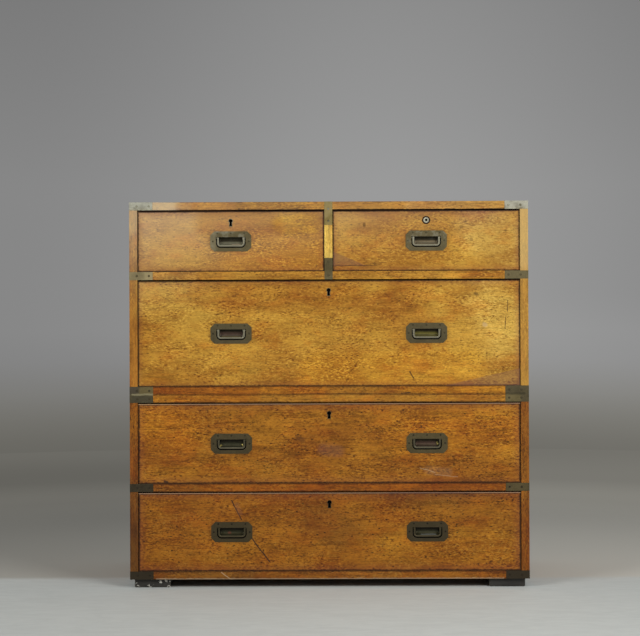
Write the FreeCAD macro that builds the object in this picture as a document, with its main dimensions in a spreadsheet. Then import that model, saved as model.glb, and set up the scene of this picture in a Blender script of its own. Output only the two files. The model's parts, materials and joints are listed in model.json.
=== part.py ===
"""Campaign chest of drawers in two cases, made as a parametric document.

Units are millimetres. +Z is up, the drawers face -Y, and the origin is on the floor at the
middle of the chest. Every size lives in the spreadsheet "sizes" and every piece is bound to it.
"""
import FreeCAD, Part
import os
import re
import Sketcher

SIZES = (
    # the two cases
    ("case_width", 990),
    ("case_depth", 457),
    ("board", 20),
    ("short_opening", 153),
    ("deep_opening", 265),
    ("third_opening", 201),
    ("bottom_opening", 197),
    ("rail_depth", 60),
    ("housing", 6),
    ("pin_narrow", 9),
    ("pin_wide", 17),
    # back boards, lapped along their edges and let into the sides
    ("back_thick", 10),
    ("back_rebate", 10),
    ("back_lap", 8),
    # runners, dust panels and drawer stops
    ("runner_width", 45),
    ("dust_thick", 7),
    ("dust_tongue", 7),
    ("stop_width", 38),
    ("stop_depth", 24),
    ("stop_height", 6),
    ("stop_inset", 70),
    ("stop_gap", 0.3),
    # feet and locating studs
    ("foot_height", 21),
    ("foot_width", 89),
    ("foot_depth", 100),
    ("foot_inset", 10),
    ("foot_chamfer", 2),
    ("stud_radius", 8),
    ("stud_height", 10),
    ("stud_seat", 9),
    ("stud_inset", 110),
    ("stud_gap", 0.5),
    # brass straps and corners
    ("brass_thick", 1.6),
    ("brass_proud", 0.3),
    ("strap_reach", 58),
    ("centre_strap_low", 53),
    # drawers
    ("drawer_side_gap", 1.5),
    ("drawer_top_gap", 3),
    ("drawer_run_gap", 0.3),
    ("drawer_rear_gap", 15),
    ("front_thick", 22),
    ("front_lap", 6),
    ("drawer_side", 10),
    ("drawer_side_drop", 3),
    ("drawer_back", 9),
    ("drawer_back_drop", 8),
    ("bottom_thick", 7),
    ("bottom_rise", 9),
    ("bottom_groove", 5),
    ("tail_narrow", 4),
    ("tail_wide", 9),
    # locks
    ("lock_width", 62),
    ("lock_height", 38),
    ("lock_depth", 10),
    ("selvedge_width", 14),
    ("selvedge_thick", 2),
    ("selvedge_over", 4),
    ("bolt_width", 18),
    ("bolt_thick", 3.6),
    ("bolt_height", 24),
    ("bolt_notch", 5),
    ("bolt_throw", 8),
    ("bolt_gap", 0.3),
    ("mortise_gap", 1.5),
    ("key_drop", 23.9),
    ("key_radius", 4.7),
    ("key_slot_low", 6.2),
    ("key_slot_high", 4.6),
    ("key_length", 13.2),
    ("key_reach", 4),
    ("key_pin_radius", 1.3),
    ("key_pin_length", 5),
    ("rim_thick", 1.2),
    ("rim_depth", 3.5),
    ("nozzle_radius", 10),
    ("nozzle_bore", 2.4),
    # flush pulls on the drawers, then the larger carrying handles on the case sides
    ("pull_width", 102),
    ("pull_height", 50),
    ("pull_cant", 10),
    ("pull_open_width", 73.5),
    ("pull_open_top", 10.6),
    ("pull_open_low", 16),
    ("pull_open_corner", 11),
    ("pull_bail_width", 68.5),
    ("pull_bail_arm", 4.9),
    ("pull_bail_bar", 4.8),
    ("pull_bail_thick", 4.4),
    ("pull_bail_inner", 3),
    ("pull_bail_gap", 2.5),
    ("pull_ledge", 6.2),
    ("pull_cup", 13),
    ("carry_width", 132),
    ("carry_height", 64),
    ("carry_cant", 13),
    ("carry_open_width", 98),
    ("carry_open_top", 15),
    ("carry_open_low", 21),
    ("carry_open_corner", 12),
    ("carry_bail_width", 94),
    ("carry_bail_arm", 7),
    ("carry_bail_bar", 6.4),
    ("carry_bail_thick", 5.6),
    ("carry_bail_inner", 4),
    ("carry_bail_gap", 2),
    ("carry_ledge", 7.2),
    ("carry_cup", 14),
    ("carry_drop", 150),
    ("plate_thick", 2.5),
    ("cup_wall", 3.6),
    ("cup_floor", 1.5),
    ("cup_cant", 7),
    ("finger_gap", 1),
    ("pivot_radius", 1.4),
    ("pivot_reach", 2.4),
    ("pivot_root", 1),
    ("pivot_gap", 0.05),
    ("bail_sunk", 0.2),
    ("bail_head_gap", 0.4),
    ("bail_head_cant", 1.3),
)
CASE_PINS = 6
BACK_BOARDS = 3
DRAWER_PINS = 3
DEEP_DRAWER_PINS = 4
SHORT_BACK_PINS = 2
MOUTH_CORNERS = {"pull": "Fillet", "carry": "Chamfer"}
PRISM_FACES = 8
CORNER_TO_FLAT = f"cos({180 / PRISM_FACES})"
NEAR = 1e-3

doc = FreeCAD.newDocument("campaign_chest")
sheet = doc.addObject("Spreadsheet::Sheet", "sizes")
for row, (alias, value) in enumerate(SIZES, 1):
    sheet.set(f"A{row}", alias)
    sheet.set(f"B{row}", str(value))
    sheet.setAlias(f"B{row}", alias)
doc.recompute()
ALIASES = {alias for alias, value in SIZES}
nodes = []

# Places that several pieces share, as expressions of the sheet's values.
LOWER_BASE = "foot_height"
LOWER_HEIGHT = "(3 * board + bottom_opening + third_opening)"
UPPER_BASE = f"({LOWER_BASE} + {LOWER_HEIGHT})"
UPPER_HEIGHT = "(3 * board + deep_opening + short_opening)"
FRONT = "(-case_depth / 2)"
REAR = "(case_depth / 2)"
LEFT = "(-case_width / 2)"
SHORT_WIDTH = "((case_width - 3 * board) / 2 - 2 * drawer_side_gap)"
LONG_WIDTH = "(case_width - 2 * board - 2 * drawer_side_gap)"
HALF_BAY = "((case_width - board) / 4)"
DRAWER_LENGTH = "(case_depth - back_thick - drawer_rear_gap)"


def spell(text):
    """The expression with each size's name written as the sheet's own."""
    def spelled(word):
        return f"sizes.{word[0]}" if word[0] in ALIASES else word[0]

    return re.sub(r"[a-z_]+", spelled, str(text))


def bind(item, setting, text):
    item.setExpression(setting, spell(text))


def place(item, x=0, y=0, z=0):
    """Moves an item to a place given as three expressions."""
    for axis, text in zip("xyz", (x, y, z)):
        bind(item, f"Placement.Base.{axis}", text)
    return item


def box(name, spans):
    """A block between three pairs of expressions, one pair for each axis."""
    block = doc.addObject("Part::Box", name)
    for side, (low, high) in zip(("Length", "Width", "Height"), spans):
        bind(block, side, f"({high}) - ({low})")
    return place(block, *(low for low, high in spans))


def cylinder(name, axis, radius, length, start):
    """A round bar along +axis from the point start."""
    bar = doc.addObject("Part::Cylinder", name)
    bind(bar, "Radius", radius)
    bind(bar, "Height", length)
    bar.Placement.Rotation = FreeCAD.Rotation(FreeCAD.Vector(0, 0, 1), axis)
    return place(bar, *start)


def eight_sided(name, axis, radius, length, start):
    """An eight-sided bar along +axis, as wide as the radius at its corners."""
    bar = doc.addObject("Part::Prism", name)
    bar.Polygon = PRISM_FACES
    bind(bar, "Circumradius", radius)
    bind(bar, "Height", length)
    bar.Placement.Rotation = FreeCAD.Rotation(FreeCAD.Vector(0, 0, 1), axis)
    return place(bar, *start)


def carve(name, stock, tools):
    """The stock with the shape of each tool taken out."""
    for number, tool in enumerate(tools, 1):
        cut = doc.addObject("Part::Cut", f"{name}_cut_{number}")
        cut.Base = stock
        cut.Tool = tool
        stock = cut
    return stock


def fuse(name, members):
    """Members joined into one solid."""
    whole = doc.addObject("Part::MultiFuse", name)
    whole.Shapes = members
    whole.Refine = True
    return whole


def group(name, members, x=0, y=0, z=0):
    """Members kept as solids of their own, moved together."""
    bundle = doc.addObject("Part::Compound", name)
    bundle.Links = members
    return place(bundle, x, y, z)


def mirror(name, source, axis):
    """The source's mirror image across the origin's plane that the axis crosses."""
    image = doc.addObject("Part::Mirroring", name)
    image.Source = source
    image.Normal = axis
    return image


def node(label, members, x=0, y=0, z=0):
    """A finished sub-part, which is written to the file of its label."""
    piece = group(label, members, x, y, z)
    nodes.append(piece)
    return piece


def plane_of(body, role):
    return next(plane for plane in body.Origin.OriginFeatures if plane.Role == role)


def polygon(sketch, corners):
    """A closed outline whose corners are pairs of expressions."""
    doc.recompute()
    points = []
    for corner in corners:
        values = [sheet_value(text) for text in corner]
        points.append(FreeCAD.Vector(values[0], values[1], 0))
    lines = []
    for start, end in zip(points, points[1:] + points[:1]):
        lines.append(sketch.addGeometry(Part.LineSegment(start, end), False))
    for number, line in enumerate(lines):
        sketch.addConstraint(Sketcher.Constraint("Coincident", lines[number - 1], 2, line, 1))
    for line, point, corner in zip(lines, points, corners):
        for kind, value, text in zip(("DistanceX", "DistanceY"), point, corner):
            rule = sketch.addConstraint(Sketcher.Constraint(kind, -1, 1, line, 1, value))
            bind(sketch, f"Constraints[{rule}]", text)


def sheet_value(text):
    """The number that an expression has with the sheet's present values."""
    value = sheet.evalExpression(spell(text))
    return float(getattr(value, "Value", value))


def sketch_on(body, name, role, outlines):
    """A sketch on one of the body's origin planes, with closed outlines."""
    sketch = body.newObject("Sketcher::SketchObject", name)
    sketch.AttachmentSupport = (plane_of(body, role), [""])
    sketch.MapMode = "FlatFace"
    for corners in outlines:
        polygon(sketch, corners)
    return sketch


def padded(name, role, corners, length, flip=False):
    """A body padded from one outline."""
    body = doc.addObject("PartDesign::Body", name)
    pad = body.newObject("PartDesign::Pad", f"{name}_pad")
    pad.Profile = sketch_on(body, f"{name}_outline", role, [corners])
    pad.Reversed = flip
    bind(pad, "Length", length)
    return body


def pocket_row(body, name, role, outlines, depth, axis, length, copies):
    """Pockets of the same outlines, repeated along a sketch axis."""
    before = volume(body)
    sketch = sketch_on(body, f"{name}_outline", role, outlines)
    pocket = body.newObject("PartDesign::Pocket", name)
    pocket.Profile = sketch
    pocket.Reversed = True
    bind(pocket, "Length", depth)
    row = body.newObject("PartDesign::LinearPattern", f"{name}_row")
    row.Originals = [pocket]
    row.Direction = (sketch, [axis])
    bind(row, "Length", length)
    row.Occurrences = copies
    body.Tip = row
    if volume(body) >= before:
        raise RuntimeError(f"{name} cuts nothing")


def volume(item):
    doc.recompute()
    return item.Shape.Volume


def round_edges(body, name, radius, wanted, kind="Fillet"):
    """Rounds or chamfers the edges of the body's tip that wanted picks."""
    doc.recompute()
    tip = body.Tip
    picked = [f"Edge{number}" for number, edge in enumerate(tip.Shape.Edges, 1) if wanted(edge)]
    if not picked:
        raise RuntimeError(f"{name} finds no edge")
    feature = body.newObject(f"PartDesign::{kind}", name)
    feature.Base = (tip, picked)
    bind(feature, {"Fillet": "Radius", "Chamfer": "Size"}[kind], radius)
    body.Tip = feature
    doc.recompute()


def level(edge, height):
    """Whether an edge's middle is at a height."""
    return abs(edge.CenterOfMass.z - height) < NEAR


def runs_along(edge, axis):
    """Whether an edge is a straight one along the axis."""
    if len(edge.Vertexes) != 2 or edge.Curve.TypeId != "Part::GeomLine":
        return False
    return abs(edge.Curve.Direction.dot(axis)) > 1 - NEAR


X_AXIS = FreeCAD.Vector(1, 0, 0)
Y_AXIS = FreeCAD.Vector(0, 1, 0)
Z_AXIS = FreeCAD.Vector(0, 0, 1)


# Flush handles. Each is drawn about the middle of its plate, with the wood's face at y = 0.
def pivot_place(kind):
    """Depth and height of the axis on which a bail turns."""
    depth = f"(bail_sunk + {kind}_bail_thick / 2)"
    height = f"({kind}_open_top - bail_head_gap - {kind}_bail_thick / 2)"
    return depth, height


def handle_blank(kind):
    """The outer shape of plate and cup, which is also the recess cut for them."""
    half, tall, cant = f"{kind}_width / 2", f"{kind}_height / 2", f"{kind}_cant"
    outline = [
        (f"-{half} + {cant}", f"-{tall}"), (f"{half} - {cant}", f"-{tall}"),
        (f"{half}", f"-{tall} + {cant}"), (f"{half}", f"{tall} - {cant}"),
        (f"{half} - {cant}", f"{tall}"), (f"-{half} + {cant}", f"{tall}"),
        (f"-{half}", f"{tall} - {cant}"), (f"-{half}", f"-{tall} + {cant}"),
    ]
    plate = padded(f"{kind}_plate", "XZ_Plane", outline, "plate_thick", flip=True)
    place(plate, y="-brass_proud")
    wide = f"({kind}_open_width / 2 + cup_wall)"
    low, high = f"-{kind}_open_low - cup_wall", f"{kind}_open_top + cup_wall"
    cup_outline = [
        (f"-{wide} + cup_cant", low), (f"{wide} - cup_cant", low), (wide, f"{low} + cup_cant"),
        (wide, high), (f"-{wide}", high), (f"-{wide}", f"{low} + cup_cant"),
    ]
    cup = padded(f"{kind}_cup", "XZ_Plane", cup_outline, f"{kind}_cup", flip=True)
    return fuse(f"{kind}_blank", [plate, cup])


def handle_pan(kind, blank):
    """Plate and cup in one casting, with the bail's ledge, the finger well and the pin bores."""
    half, low, high = f"{kind}_open_width / 2", f"-{kind}_open_low", f"{kind}_open_top"
    outline = [(f"-{half}", low), (half, low), (half, high), (f"-{half}", high)]
    mouth = padded(f"{kind}_mouth", "XZ_Plane", outline, f"{kind}_ledge + brass_proud", flip=True)
    lowest = sheet_value(low)
    round_edges(mouth, f"{kind}_mouth_corners", f"{kind}_open_corner",
                lambda edge: runs_along(edge, Y_AXIS) and level(edge, lowest), kind=MOUTH_CORNERS[kind])
    place(mouth, y="-brass_proud")
    side = f"({half} - {kind}_bail_gap - {kind}_bail_arm - finger_gap)"
    base = f"{low} + {kind}_bail_gap + {kind}_bail_bar + finger_gap"
    floor = f"{kind}_cup - cup_floor"
    profile = [("0", base), (f"{kind}_ledge", base), (floor, f"{base} + {floor} - {kind}_ledge"),
               (floor, high), ("0", high)]
    well = padded(f"{kind}_well", "YZ_Plane", profile, f"2 * {side}")
    place(well, x=f"-{side}")
    depth, height = pivot_place(kind)
    reach = f"({half} + pivot_reach + pivot_gap)"
    bores = eight_sided(f"{kind}_bores", X_AXIS, f"(pivot_radius + pivot_gap) / {CORNER_TO_FLAT}",
                        f"2 * {reach}", (f"-{reach}", depth, height))
    return carve(f"{kind}_pan", blank, [mouth, well, bores])


def handle_bail(kind):
    """The swinging bail: a U with rounded corners, turning on a pin at the top of each arm."""
    half, arm, bar = f"{kind}_bail_width / 2", f"{kind}_bail_arm", f"{kind}_bail_bar"
    low = f"-{kind}_open_low + {kind}_bail_gap"
    high = f"{kind}_open_top - bail_head_gap"
    outline = [
        (f"-{half}", low), (half, low), (half, high), (f"{half} - {arm}", high),
        (f"{half} - {arm}", f"{low} + {bar}"), (f"-{half} + {arm}", f"{low} + {bar}"),
        (f"-{half} + {arm}", high), (f"-{half}", high),
    ]
    loop = padded(f"{kind}_loop", "XZ_Plane", outline, f"{kind}_bail_thick", flip=True)
    lowest, inner, top = sheet_value(low), sheet_value(f"{low} + {bar}"), sheet_value(high)
    round_edges(loop, f"{kind}_loop_outer", f"{kind}_open_corner - {kind}_bail_gap",
                lambda edge: runs_along(edge, Y_AXIS) and level(edge, lowest), kind=MOUTH_CORNERS[kind])
    round_edges(loop, f"{kind}_loop_inner", f"{kind}_bail_inner",
                lambda edge: runs_along(edge, Y_AXIS) and level(edge, inner), kind="Chamfer")
    round_edges(loop, f"{kind}_loop_heads", "bail_head_cant",
                lambda edge: runs_along(edge, X_AXIS) and level(edge, top), kind="Chamfer")
    place(loop, y="bail_sunk")
    depth, height = pivot_place(kind)
    tip, root = f"({kind}_open_width / 2 + pivot_reach)", f"({half} - pivot_root)"
    pins = []
    for side, start in (("left", f"-{tip}"), ("right", root)):
        pin = eight_sided(f"{kind}_pin_{side}", X_AXIS, "pivot_radius", f"{tip} - {root}",
                          (start, depth, height))
        pins.append(pin)
    return fuse(f"{kind}_bail", [loop, *pins])


HANDLES = {}
for kind in ("pull", "carry"):
    blank = handle_blank(kind)
    HANDLES[kind] = {"blank": blank, "pan": handle_pan(kind, blank), "bail": handle_bail(kind)}


def handle_copy(kind, piece, name, x, y, z, quarter_turn=False):
    """A copy of a handle's piece, facing -Y, or -X after a quarter turn."""
    copy = doc.addObject("Part::Compound", name)
    copy.Links = [HANDLES[kind][piece]]
    if quarter_turn:
        copy.Placement.Rotation = FreeCAD.Rotation(Z_AXIS, -90)
    return place(copy, x, y, z)


# Locks. Each is drawn about the drawer's middle, with the drawer front's face at y = 0.
def keyhole(name, bar, grow, start, end, top):
    """The keyhole's shape between two depths, grown all round, with a round or eight-sided head."""
    centre = f"({top} - key_drop)"
    head = bar(f"{name}_head", Y_AXIS, f"key_radius + {grow}", f"({end}) - ({start})", (0, start, centre))
    low = f"{centre} - key_length - {grow}"
    outline = [
        (f"-key_slot_low / 2 - {grow}", low), (f"key_slot_low / 2 + {grow}", low),
        (f"key_slot_high / 2 + {grow}", centre), (f"-key_slot_high / 2 - {grow}", centre),
    ]
    slot = padded(f"{name}_slot", "XZ_Plane", outline, f"({end}) - ({start})", flip=True)
    place(slot, y=start)
    return fuse(name, [head, slot])


def nozzle(name, top):
    """A round lock nozzle: a barrel with a bore for the key."""
    body = doc.addObject("PartDesign::Body", name)
    turned = body.newObject("PartDesign::Revolution", f"{name}_turned")
    face, inside = "-brass_proud", "front_thick - lock_depth"
    outline = [("nozzle_bore", face), ("nozzle_radius", face),
               ("nozzle_radius", inside), ("nozzle_bore", inside)]
    turned.Profile = sketch_on(body, f"{name}_outline", "XY_Plane", [outline])
    turned.ReferenceAxis = (turned.Profile[0], ["V_Axis"])
    turned.Angle = 360
    return place(body, z=f"{top} - key_drop")


def lock(name, top, round_nozzle):
    """Lock pieces and the shapes that the wood loses for them."""
    back, deep = "front_thick", "front_thick - lock_depth"
    half = "lock_width / 2"
    case = box(f"{name}_case", [(f"-{half}", half), (deep, back), (f"{top} - lock_height", top)])
    wide = f"{half} + selvedge_over"
    selvedge = box(f"{name}_selvedge", [(f"-({wide})", wide), (f"{back} - selvedge_width", back),
                                        (f"{top} - selvedge_thick", top)])
    blank = fuse(f"{name}_blank", [case, selvedge])
    middle = f"({back} - (lock_depth - key_reach) / 2)"
    half_bolt, half_thick = "bolt_width / 2", "bolt_thick / 2"
    channel = box(f"{name}_channel", [
        (f"-{half_bolt} - bolt_gap", f"{half_bolt} + bolt_gap"),
        (f"{middle} - {half_thick} - bolt_gap", f"{middle} + {half_thick} + bolt_gap"),
        (f"{top} - bolt_height - 2 * bolt_gap", top)])
    bolt = box(f"{name}_bolt_bar", [
        (f"-{half_bolt}", half_bolt), (f"{middle} - {half_thick}", f"{middle} + {half_thick}"),
        (f"{top} - bolt_height - bolt_gap", f"{top} - bolt_gap")])
    notch = box(f"{name}_bolt_notch", [
        ("-bolt_notch / 2", "bolt_notch / 2"), (f"{middle} - {half_thick}", f"{middle} + {half_thick}"),
        (f"{top} - bolt_height - bolt_gap", f"{top} - bolt_height - bolt_gap + bolt_notch")])
    centre = f"({top} - key_drop)"
    if round_nozzle:
        trim = nozzle(f"{name}_nozzle", top)
        way = cylinder(f"{name}_nozzle_way", Y_AXIS, "nozzle_radius", f"{deep} + brass_proud",
                       (0, "-brass_proud", centre))
    else:
        rim = keyhole(f"{name}_rim", eight_sided, "rim_thick", "-brass_proud", "rim_depth", top)
        hole = keyhole(f"{name}_hole", cylinder, "0", "-brass_proud", "rim_depth", top)
        way = keyhole(f"{name}_way", eight_sided, "rim_thick", "-brass_proud", deep, top)
        trim = carve(f"{name}_escutcheon", rim, [hole])
    key_way = box(f"{name}_key_way", [("-key_radius", "key_radius"), (deep, f"{deep} + key_reach"),
                                      (f"{centre} - key_length", f"{centre} + key_radius")])
    key_pin = eight_sided(f"{name}_key_pin", Y_AXIS, "key_pin_radius", "key_pin_length + key_reach",
                          (0, f"{deep} - key_pin_length", centre))
    case = fuse(f"{name}_pinned", [carve(f"{name}_body", blank, [channel, key_way]), key_pin])
    return {"case": [case, trim], "bolt": carve(f"{name}_bolt_cut", bolt, [notch]), "wood": [blank, way]}


# Drawers. Each is drawn about its own middle, with its front's face at y = 0 and its foot at z = 0.
def drawer_side(name, width, height, pins):
    """The left side board with its tails, half blind in front and through at the back."""
    front_pins, back_pins = pins
    tall = f"({height} - drawer_side_drop)"
    outline = [("front_lap", "0"), (DRAWER_LENGTH, "0"), (DRAWER_LENGTH, tall), ("front_lap", tall)]
    body = padded(f"{name}_side", "YZ_Plane", outline, "drawer_side")
    front = [("front_lap", "-tail_narrow / 2"), ("front_lap", "tail_narrow / 2"),
             ("front_thick", "tail_wide / 2"), ("front_thick", "-tail_wide / 2")]
    pocket_row(body, f"{name}_front_tails", "YZ_Plane", [front], "drawer_side", "V_Axis", tall,
               front_pins + 1)
    base, inner = "(bottom_rise + bottom_thick)", f"{DRAWER_LENGTH} - drawer_back"
    rear = [(DRAWER_LENGTH, f"{base} - tail_narrow / 2"), (DRAWER_LENGTH, f"{base} + tail_narrow / 2"),
            (inner, f"{base} + tail_wide / 2"), (inner, f"{base} - tail_wide / 2")]
    pocket_row(body, f"{name}_rear_tails", "YZ_Plane", [rear], "drawer_side", "V_Axis",
               f"{tall} - drawer_back_drop - {base}", back_pins + 1)
    return place(body, x=f"-{width} / 2")


def drawer(name, width, opening, centre, floor, handles, pins, round_nozzle=False):
    """One drawer: a dovetailed box with a grooved-in bottom, its lock, handles and bails."""
    height = f"({opening} - drawer_top_gap - drawer_run_gap)"
    half = f"{width} / 2"
    here = (centre, FRONT, f"{floor} + drawer_run_gap")
    left = drawer_side(name, width, height, pins)
    right = mirror(f"{name}_side_right", left, X_AXIS)
    sides = group(f"{name}_sides_plain", [left, right])
    inside = f"{half} - drawer_side + bottom_groove"
    panel = box(f"{name}_panel", [(f"-({inside})", inside), ("front_thick - bottom_groove", DRAWER_LENGTH),
                                  ("bottom_rise", "bottom_rise + bottom_thick")])
    back = box(f"{name}_back_plain", [
        (f"-({half})", half), (f"{DRAWER_LENGTH} - drawer_back", DRAWER_LENGTH),
        ("bottom_rise + bottom_thick", f"{height} - drawer_side_drop - drawer_back_drop")])
    back = carve(f"{name}_back", back, [sides])
    sides = carve(f"{name}_sides", sides, [panel])

    pans, bails, recesses = [], [], []
    for side, x in handles:
        spot = (x, 0, f"{height} / 2")
        recesses.append(handle_copy("pull", "blank", f"{name}_{side}_recess", *spot))
        pans.append(handle_copy("pull", "pan", f"{name}_{side}_pan", *spot))
        bails.append((side, x))
    fittings = lock(f"{name}_lock_parts", height, round_nozzle)
    front = box(f"{name}_front_plain", [(f"-({half})", half), ("0", "front_thick"), ("0", height)])
    front = carve(f"{name}_front_wood", front, [sides, panel, *recesses, *fittings["wood"]])

    node(f"{name}_drawer_front", [front], *here)
    node(f"{name}_drawer_box", [sides, back], *here)
    node(f"{name}_drawer_bottom", [panel], *here)
    node(f"{name}_drawer_pans" if len(pans) > 1 else f"{name}_drawer_pan", pans, *here)
    node(f"{name}_drawer_lock", fittings["case"], *here)
    node(f"{name}_drawer_bolt", [fittings["bolt"]], *here)
    for side, x in bails:
        label = f"{name}_{side}_bail" if len(bails) > 1 else f"{name}_bail"
        nodes.append(handle_copy("pull", "bail", label, f"{centre} + {x}", FRONT,
                                 f"{floor} + drawer_run_gap + {height} / 2"))


# Cases
def side_board(name, height):
    """A left side board with tails on both ends, standing at the case's own floor."""
    outline = [("0", "0"), ("case_depth", "0"), ("case_depth", height), ("0", height)]
    body = padded(f"{name}_side_board", "YZ_Plane", outline, "board")
    low = [("-pin_narrow / 2", "0"), ("pin_narrow / 2", "0"),
           ("pin_wide / 2", "board"), ("-pin_wide / 2", "board")]
    high = [("pin_narrow / 2", height), ("-pin_narrow / 2", height),
            ("-pin_wide / 2", f"{height} - board"), ("pin_wide / 2", f"{height} - board")]
    pocket_row(body, f"{name}_pins", "YZ_Plane", [low, high], "board", "H_Axis", "case_depth",
               CASE_PINS + 1)
    return body


def strap(name, level, rises=False):
    """A brass strap round the left front corner, with a leaf on the top where it rises there."""
    out, face = f"{LEFT} - brass_proud", f"{FRONT} - brass_proud"
    band = (level, f"{level} + board")
    if rises:
        band = (level, f"{level} + board + brass_proud")
    legs = [
        box(f"{name}_front", [(out, f"{LEFT} + strap_reach"), (face, f"{face} + brass_thick"), band]),
        box(f"{name}_side", [(out, f"{out} + brass_thick"), (face, f"{FRONT} + strap_reach"), band]),
    ]
    if rises:
        leaf = (f"{band[1]} - brass_thick", band[1])
        legs += [
            box(f"{name}_leaf_x", [(out, f"{LEFT} + strap_reach"), (face, f"{FRONT} + board"), leaf]),
            box(f"{name}_leaf_y", [(out, f"{LEFT} + board"), (face, f"{FRONT} + strap_reach"), leaf]),
        ]
    return fuse(name, legs)


def all_corners(name, corners, fronts):
    """Straps at all four corners, and those that only the front corners have."""
    left = group(f"{name}_left_front", corners + fronts)
    right = mirror(f"{name}_right_front", left, X_AXIS)
    rear = mirror(f"{name}_left_rear", group(f"{name}_rear_source", corners), Y_AXIS)
    return [left, right, rear, mirror(f"{name}_right_rear", rear, X_AXIS)]


def back_boards(name, base, height):
    """Boards lapped along their edges, between the case's top and bottom."""
    low, high = f"({base} + board)", f"({base} + {height} - board)"
    half = f"({LEFT} + board - back_rebate)"
    boards = []
    for number in range(BACK_BOARDS):
        start = f"{low} + ({high} - {low}) * {number} / {BACK_BOARDS}"
        end = f"{low} + ({high} - {low}) * {number + 1} / {BACK_BOARDS}"
        lap_low = "back_lap" if number else "0"
        lap_high = "back_lap" if number < BACK_BOARDS - 1 else "0"
        outer = box(f"{name}_outer_{number}", [
            (half, f"-{half}"), (f"{REAR} - back_thick / 2", REAR), (start, end)])
        inner = box(f"{name}_inner_{number}", [
            (half, f"-{half}"), (f"{REAR} - back_thick", f"{REAR} - back_thick / 2"),
            (f"{start} + {lap_low}", f"{end} + {lap_high}")])
        boards.append(fuse(f"{name}_{number}", [outer, inner]))
    return boards


def stops(name, floor, centre, width):
    """Two blocks that a drawer's front meets as it closes."""
    blocks = []
    for side, sign in (("left", "-"), ("right", "")):
        middle = f"{centre} + {sign}({width} / 2 - stop_inset)"
        blocks.append(box(f"{name}_stop_{side}", [
            (f"{middle} - stop_width / 2", f"{middle} + stop_width / 2"),
            (f"{FRONT} + front_thick + stop_gap", f"{FRONT} + front_thick + stop_gap + stop_depth"),
            (floor, f"{floor} + stop_height")]))
    return blocks


def mortise(name, centre, ceiling):
    """The slot that a lock's bolt rises into."""
    middle = f"({FRONT} + front_thick - (lock_depth - key_reach) / 2)"
    wide, deep = "bolt_width / 2 + mortise_gap", "bolt_thick / 2 + mortise_gap"
    return box(name, [(f"{centre} - ({wide})", f"{centre} + {wide}"),
                      (f"{middle} - ({deep})", f"{middle} + {deep}"),
                      (ceiling, f"{ceiling} + bolt_throw + mortise_gap - drawer_top_gap")])


def runner(name, low, high, level):
    """A runner from behind the rail to the back boards."""
    return box(name, [(low, high), (f"{FRONT} + rail_depth", f"{REAR} - back_thick"),
                      (level, f"{level} + board")])


def dust_panel(name, low, high, level):
    """A thin panel in the grooves of the rail and the runners."""
    base = f"({level} + (board - dust_thick) / 2)"
    return box(name, [(f"{low} - dust_tongue", f"{high} + dust_tongue"),
                      (f"{FRONT} + rail_depth - dust_tongue", f"{REAR} - back_thick"),
                      (base, f"{base} + dust_thick")])


def partition(name, shelf, ceiling):
    """The wall between two bays, and the brass straps on its front edge, with a leaf on the top."""
    wall = box(f"{name}_partition_plain", [
        ("-board / 2", "board / 2"), (FRONT, f"{REAR} - back_thick"),
        (f"{shelf} + board - housing", f"{ceiling} + housing")])
    face, roof = f"{FRONT} - brass_proud", f"{ceiling} + board + brass_proud"
    front_leaf = [("-board / 2", "board / 2"), (face, f"{face} + brass_thick")]
    head = fuse(f"{name}_centre_strap_head", [
        box(f"{name}_centre_strap_face", [*front_leaf, (f"{ceiling} + board - strap_reach", roof)]),
        box(f"{name}_centre_strap_leaf", [("-board / 2", "board / 2"), (face, f"{FRONT} + strap_reach"),
                                          (f"{roof} - brass_thick", roof)])])
    foot = box(f"{name}_centre_strap_foot", [*front_leaf, (shelf, f"{shelf} + centre_strap_low")])
    node(f"{name}_partition", [carve(f"{name}_partition_cut", wall, [head, foot])])
    return wall, [head, foot]


def framing(name, start, level, walls):
    """Runners and dust panels behind a rail that starts at a depth in the left side board."""
    end, middle = f"({start} + runner_width)", "(runner_width + board / 2)"
    runners = [runner(f"{name}_runner_left", start, end, level)]
    runners.append(mirror(f"{name}_runner_right", runners[0], X_AXIS))
    if walls:
        between = runner(f"{name}_runner_middle_plain", f"-{middle}", middle, level)
        runners.append(carve(f"{name}_runner_middle", between, walls))
        panels = [dust_panel(f"{name}_dust_left", end, f"-{middle}", level)]
        panels.append(mirror(f"{name}_dust_right", panels[0], X_AXIS))
    else:
        panels = [dust_panel(f"{name}_dust", end, f"-{end}", level)]
    dust = group(f"{name}_dust_panels", panels)
    grooved = []
    for number, piece in enumerate(runners):
        grooved.append(carve(f"{name}_runner_grooved_{number}", piece, [dust]))
    return runners, grooved + panels, dust


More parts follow.
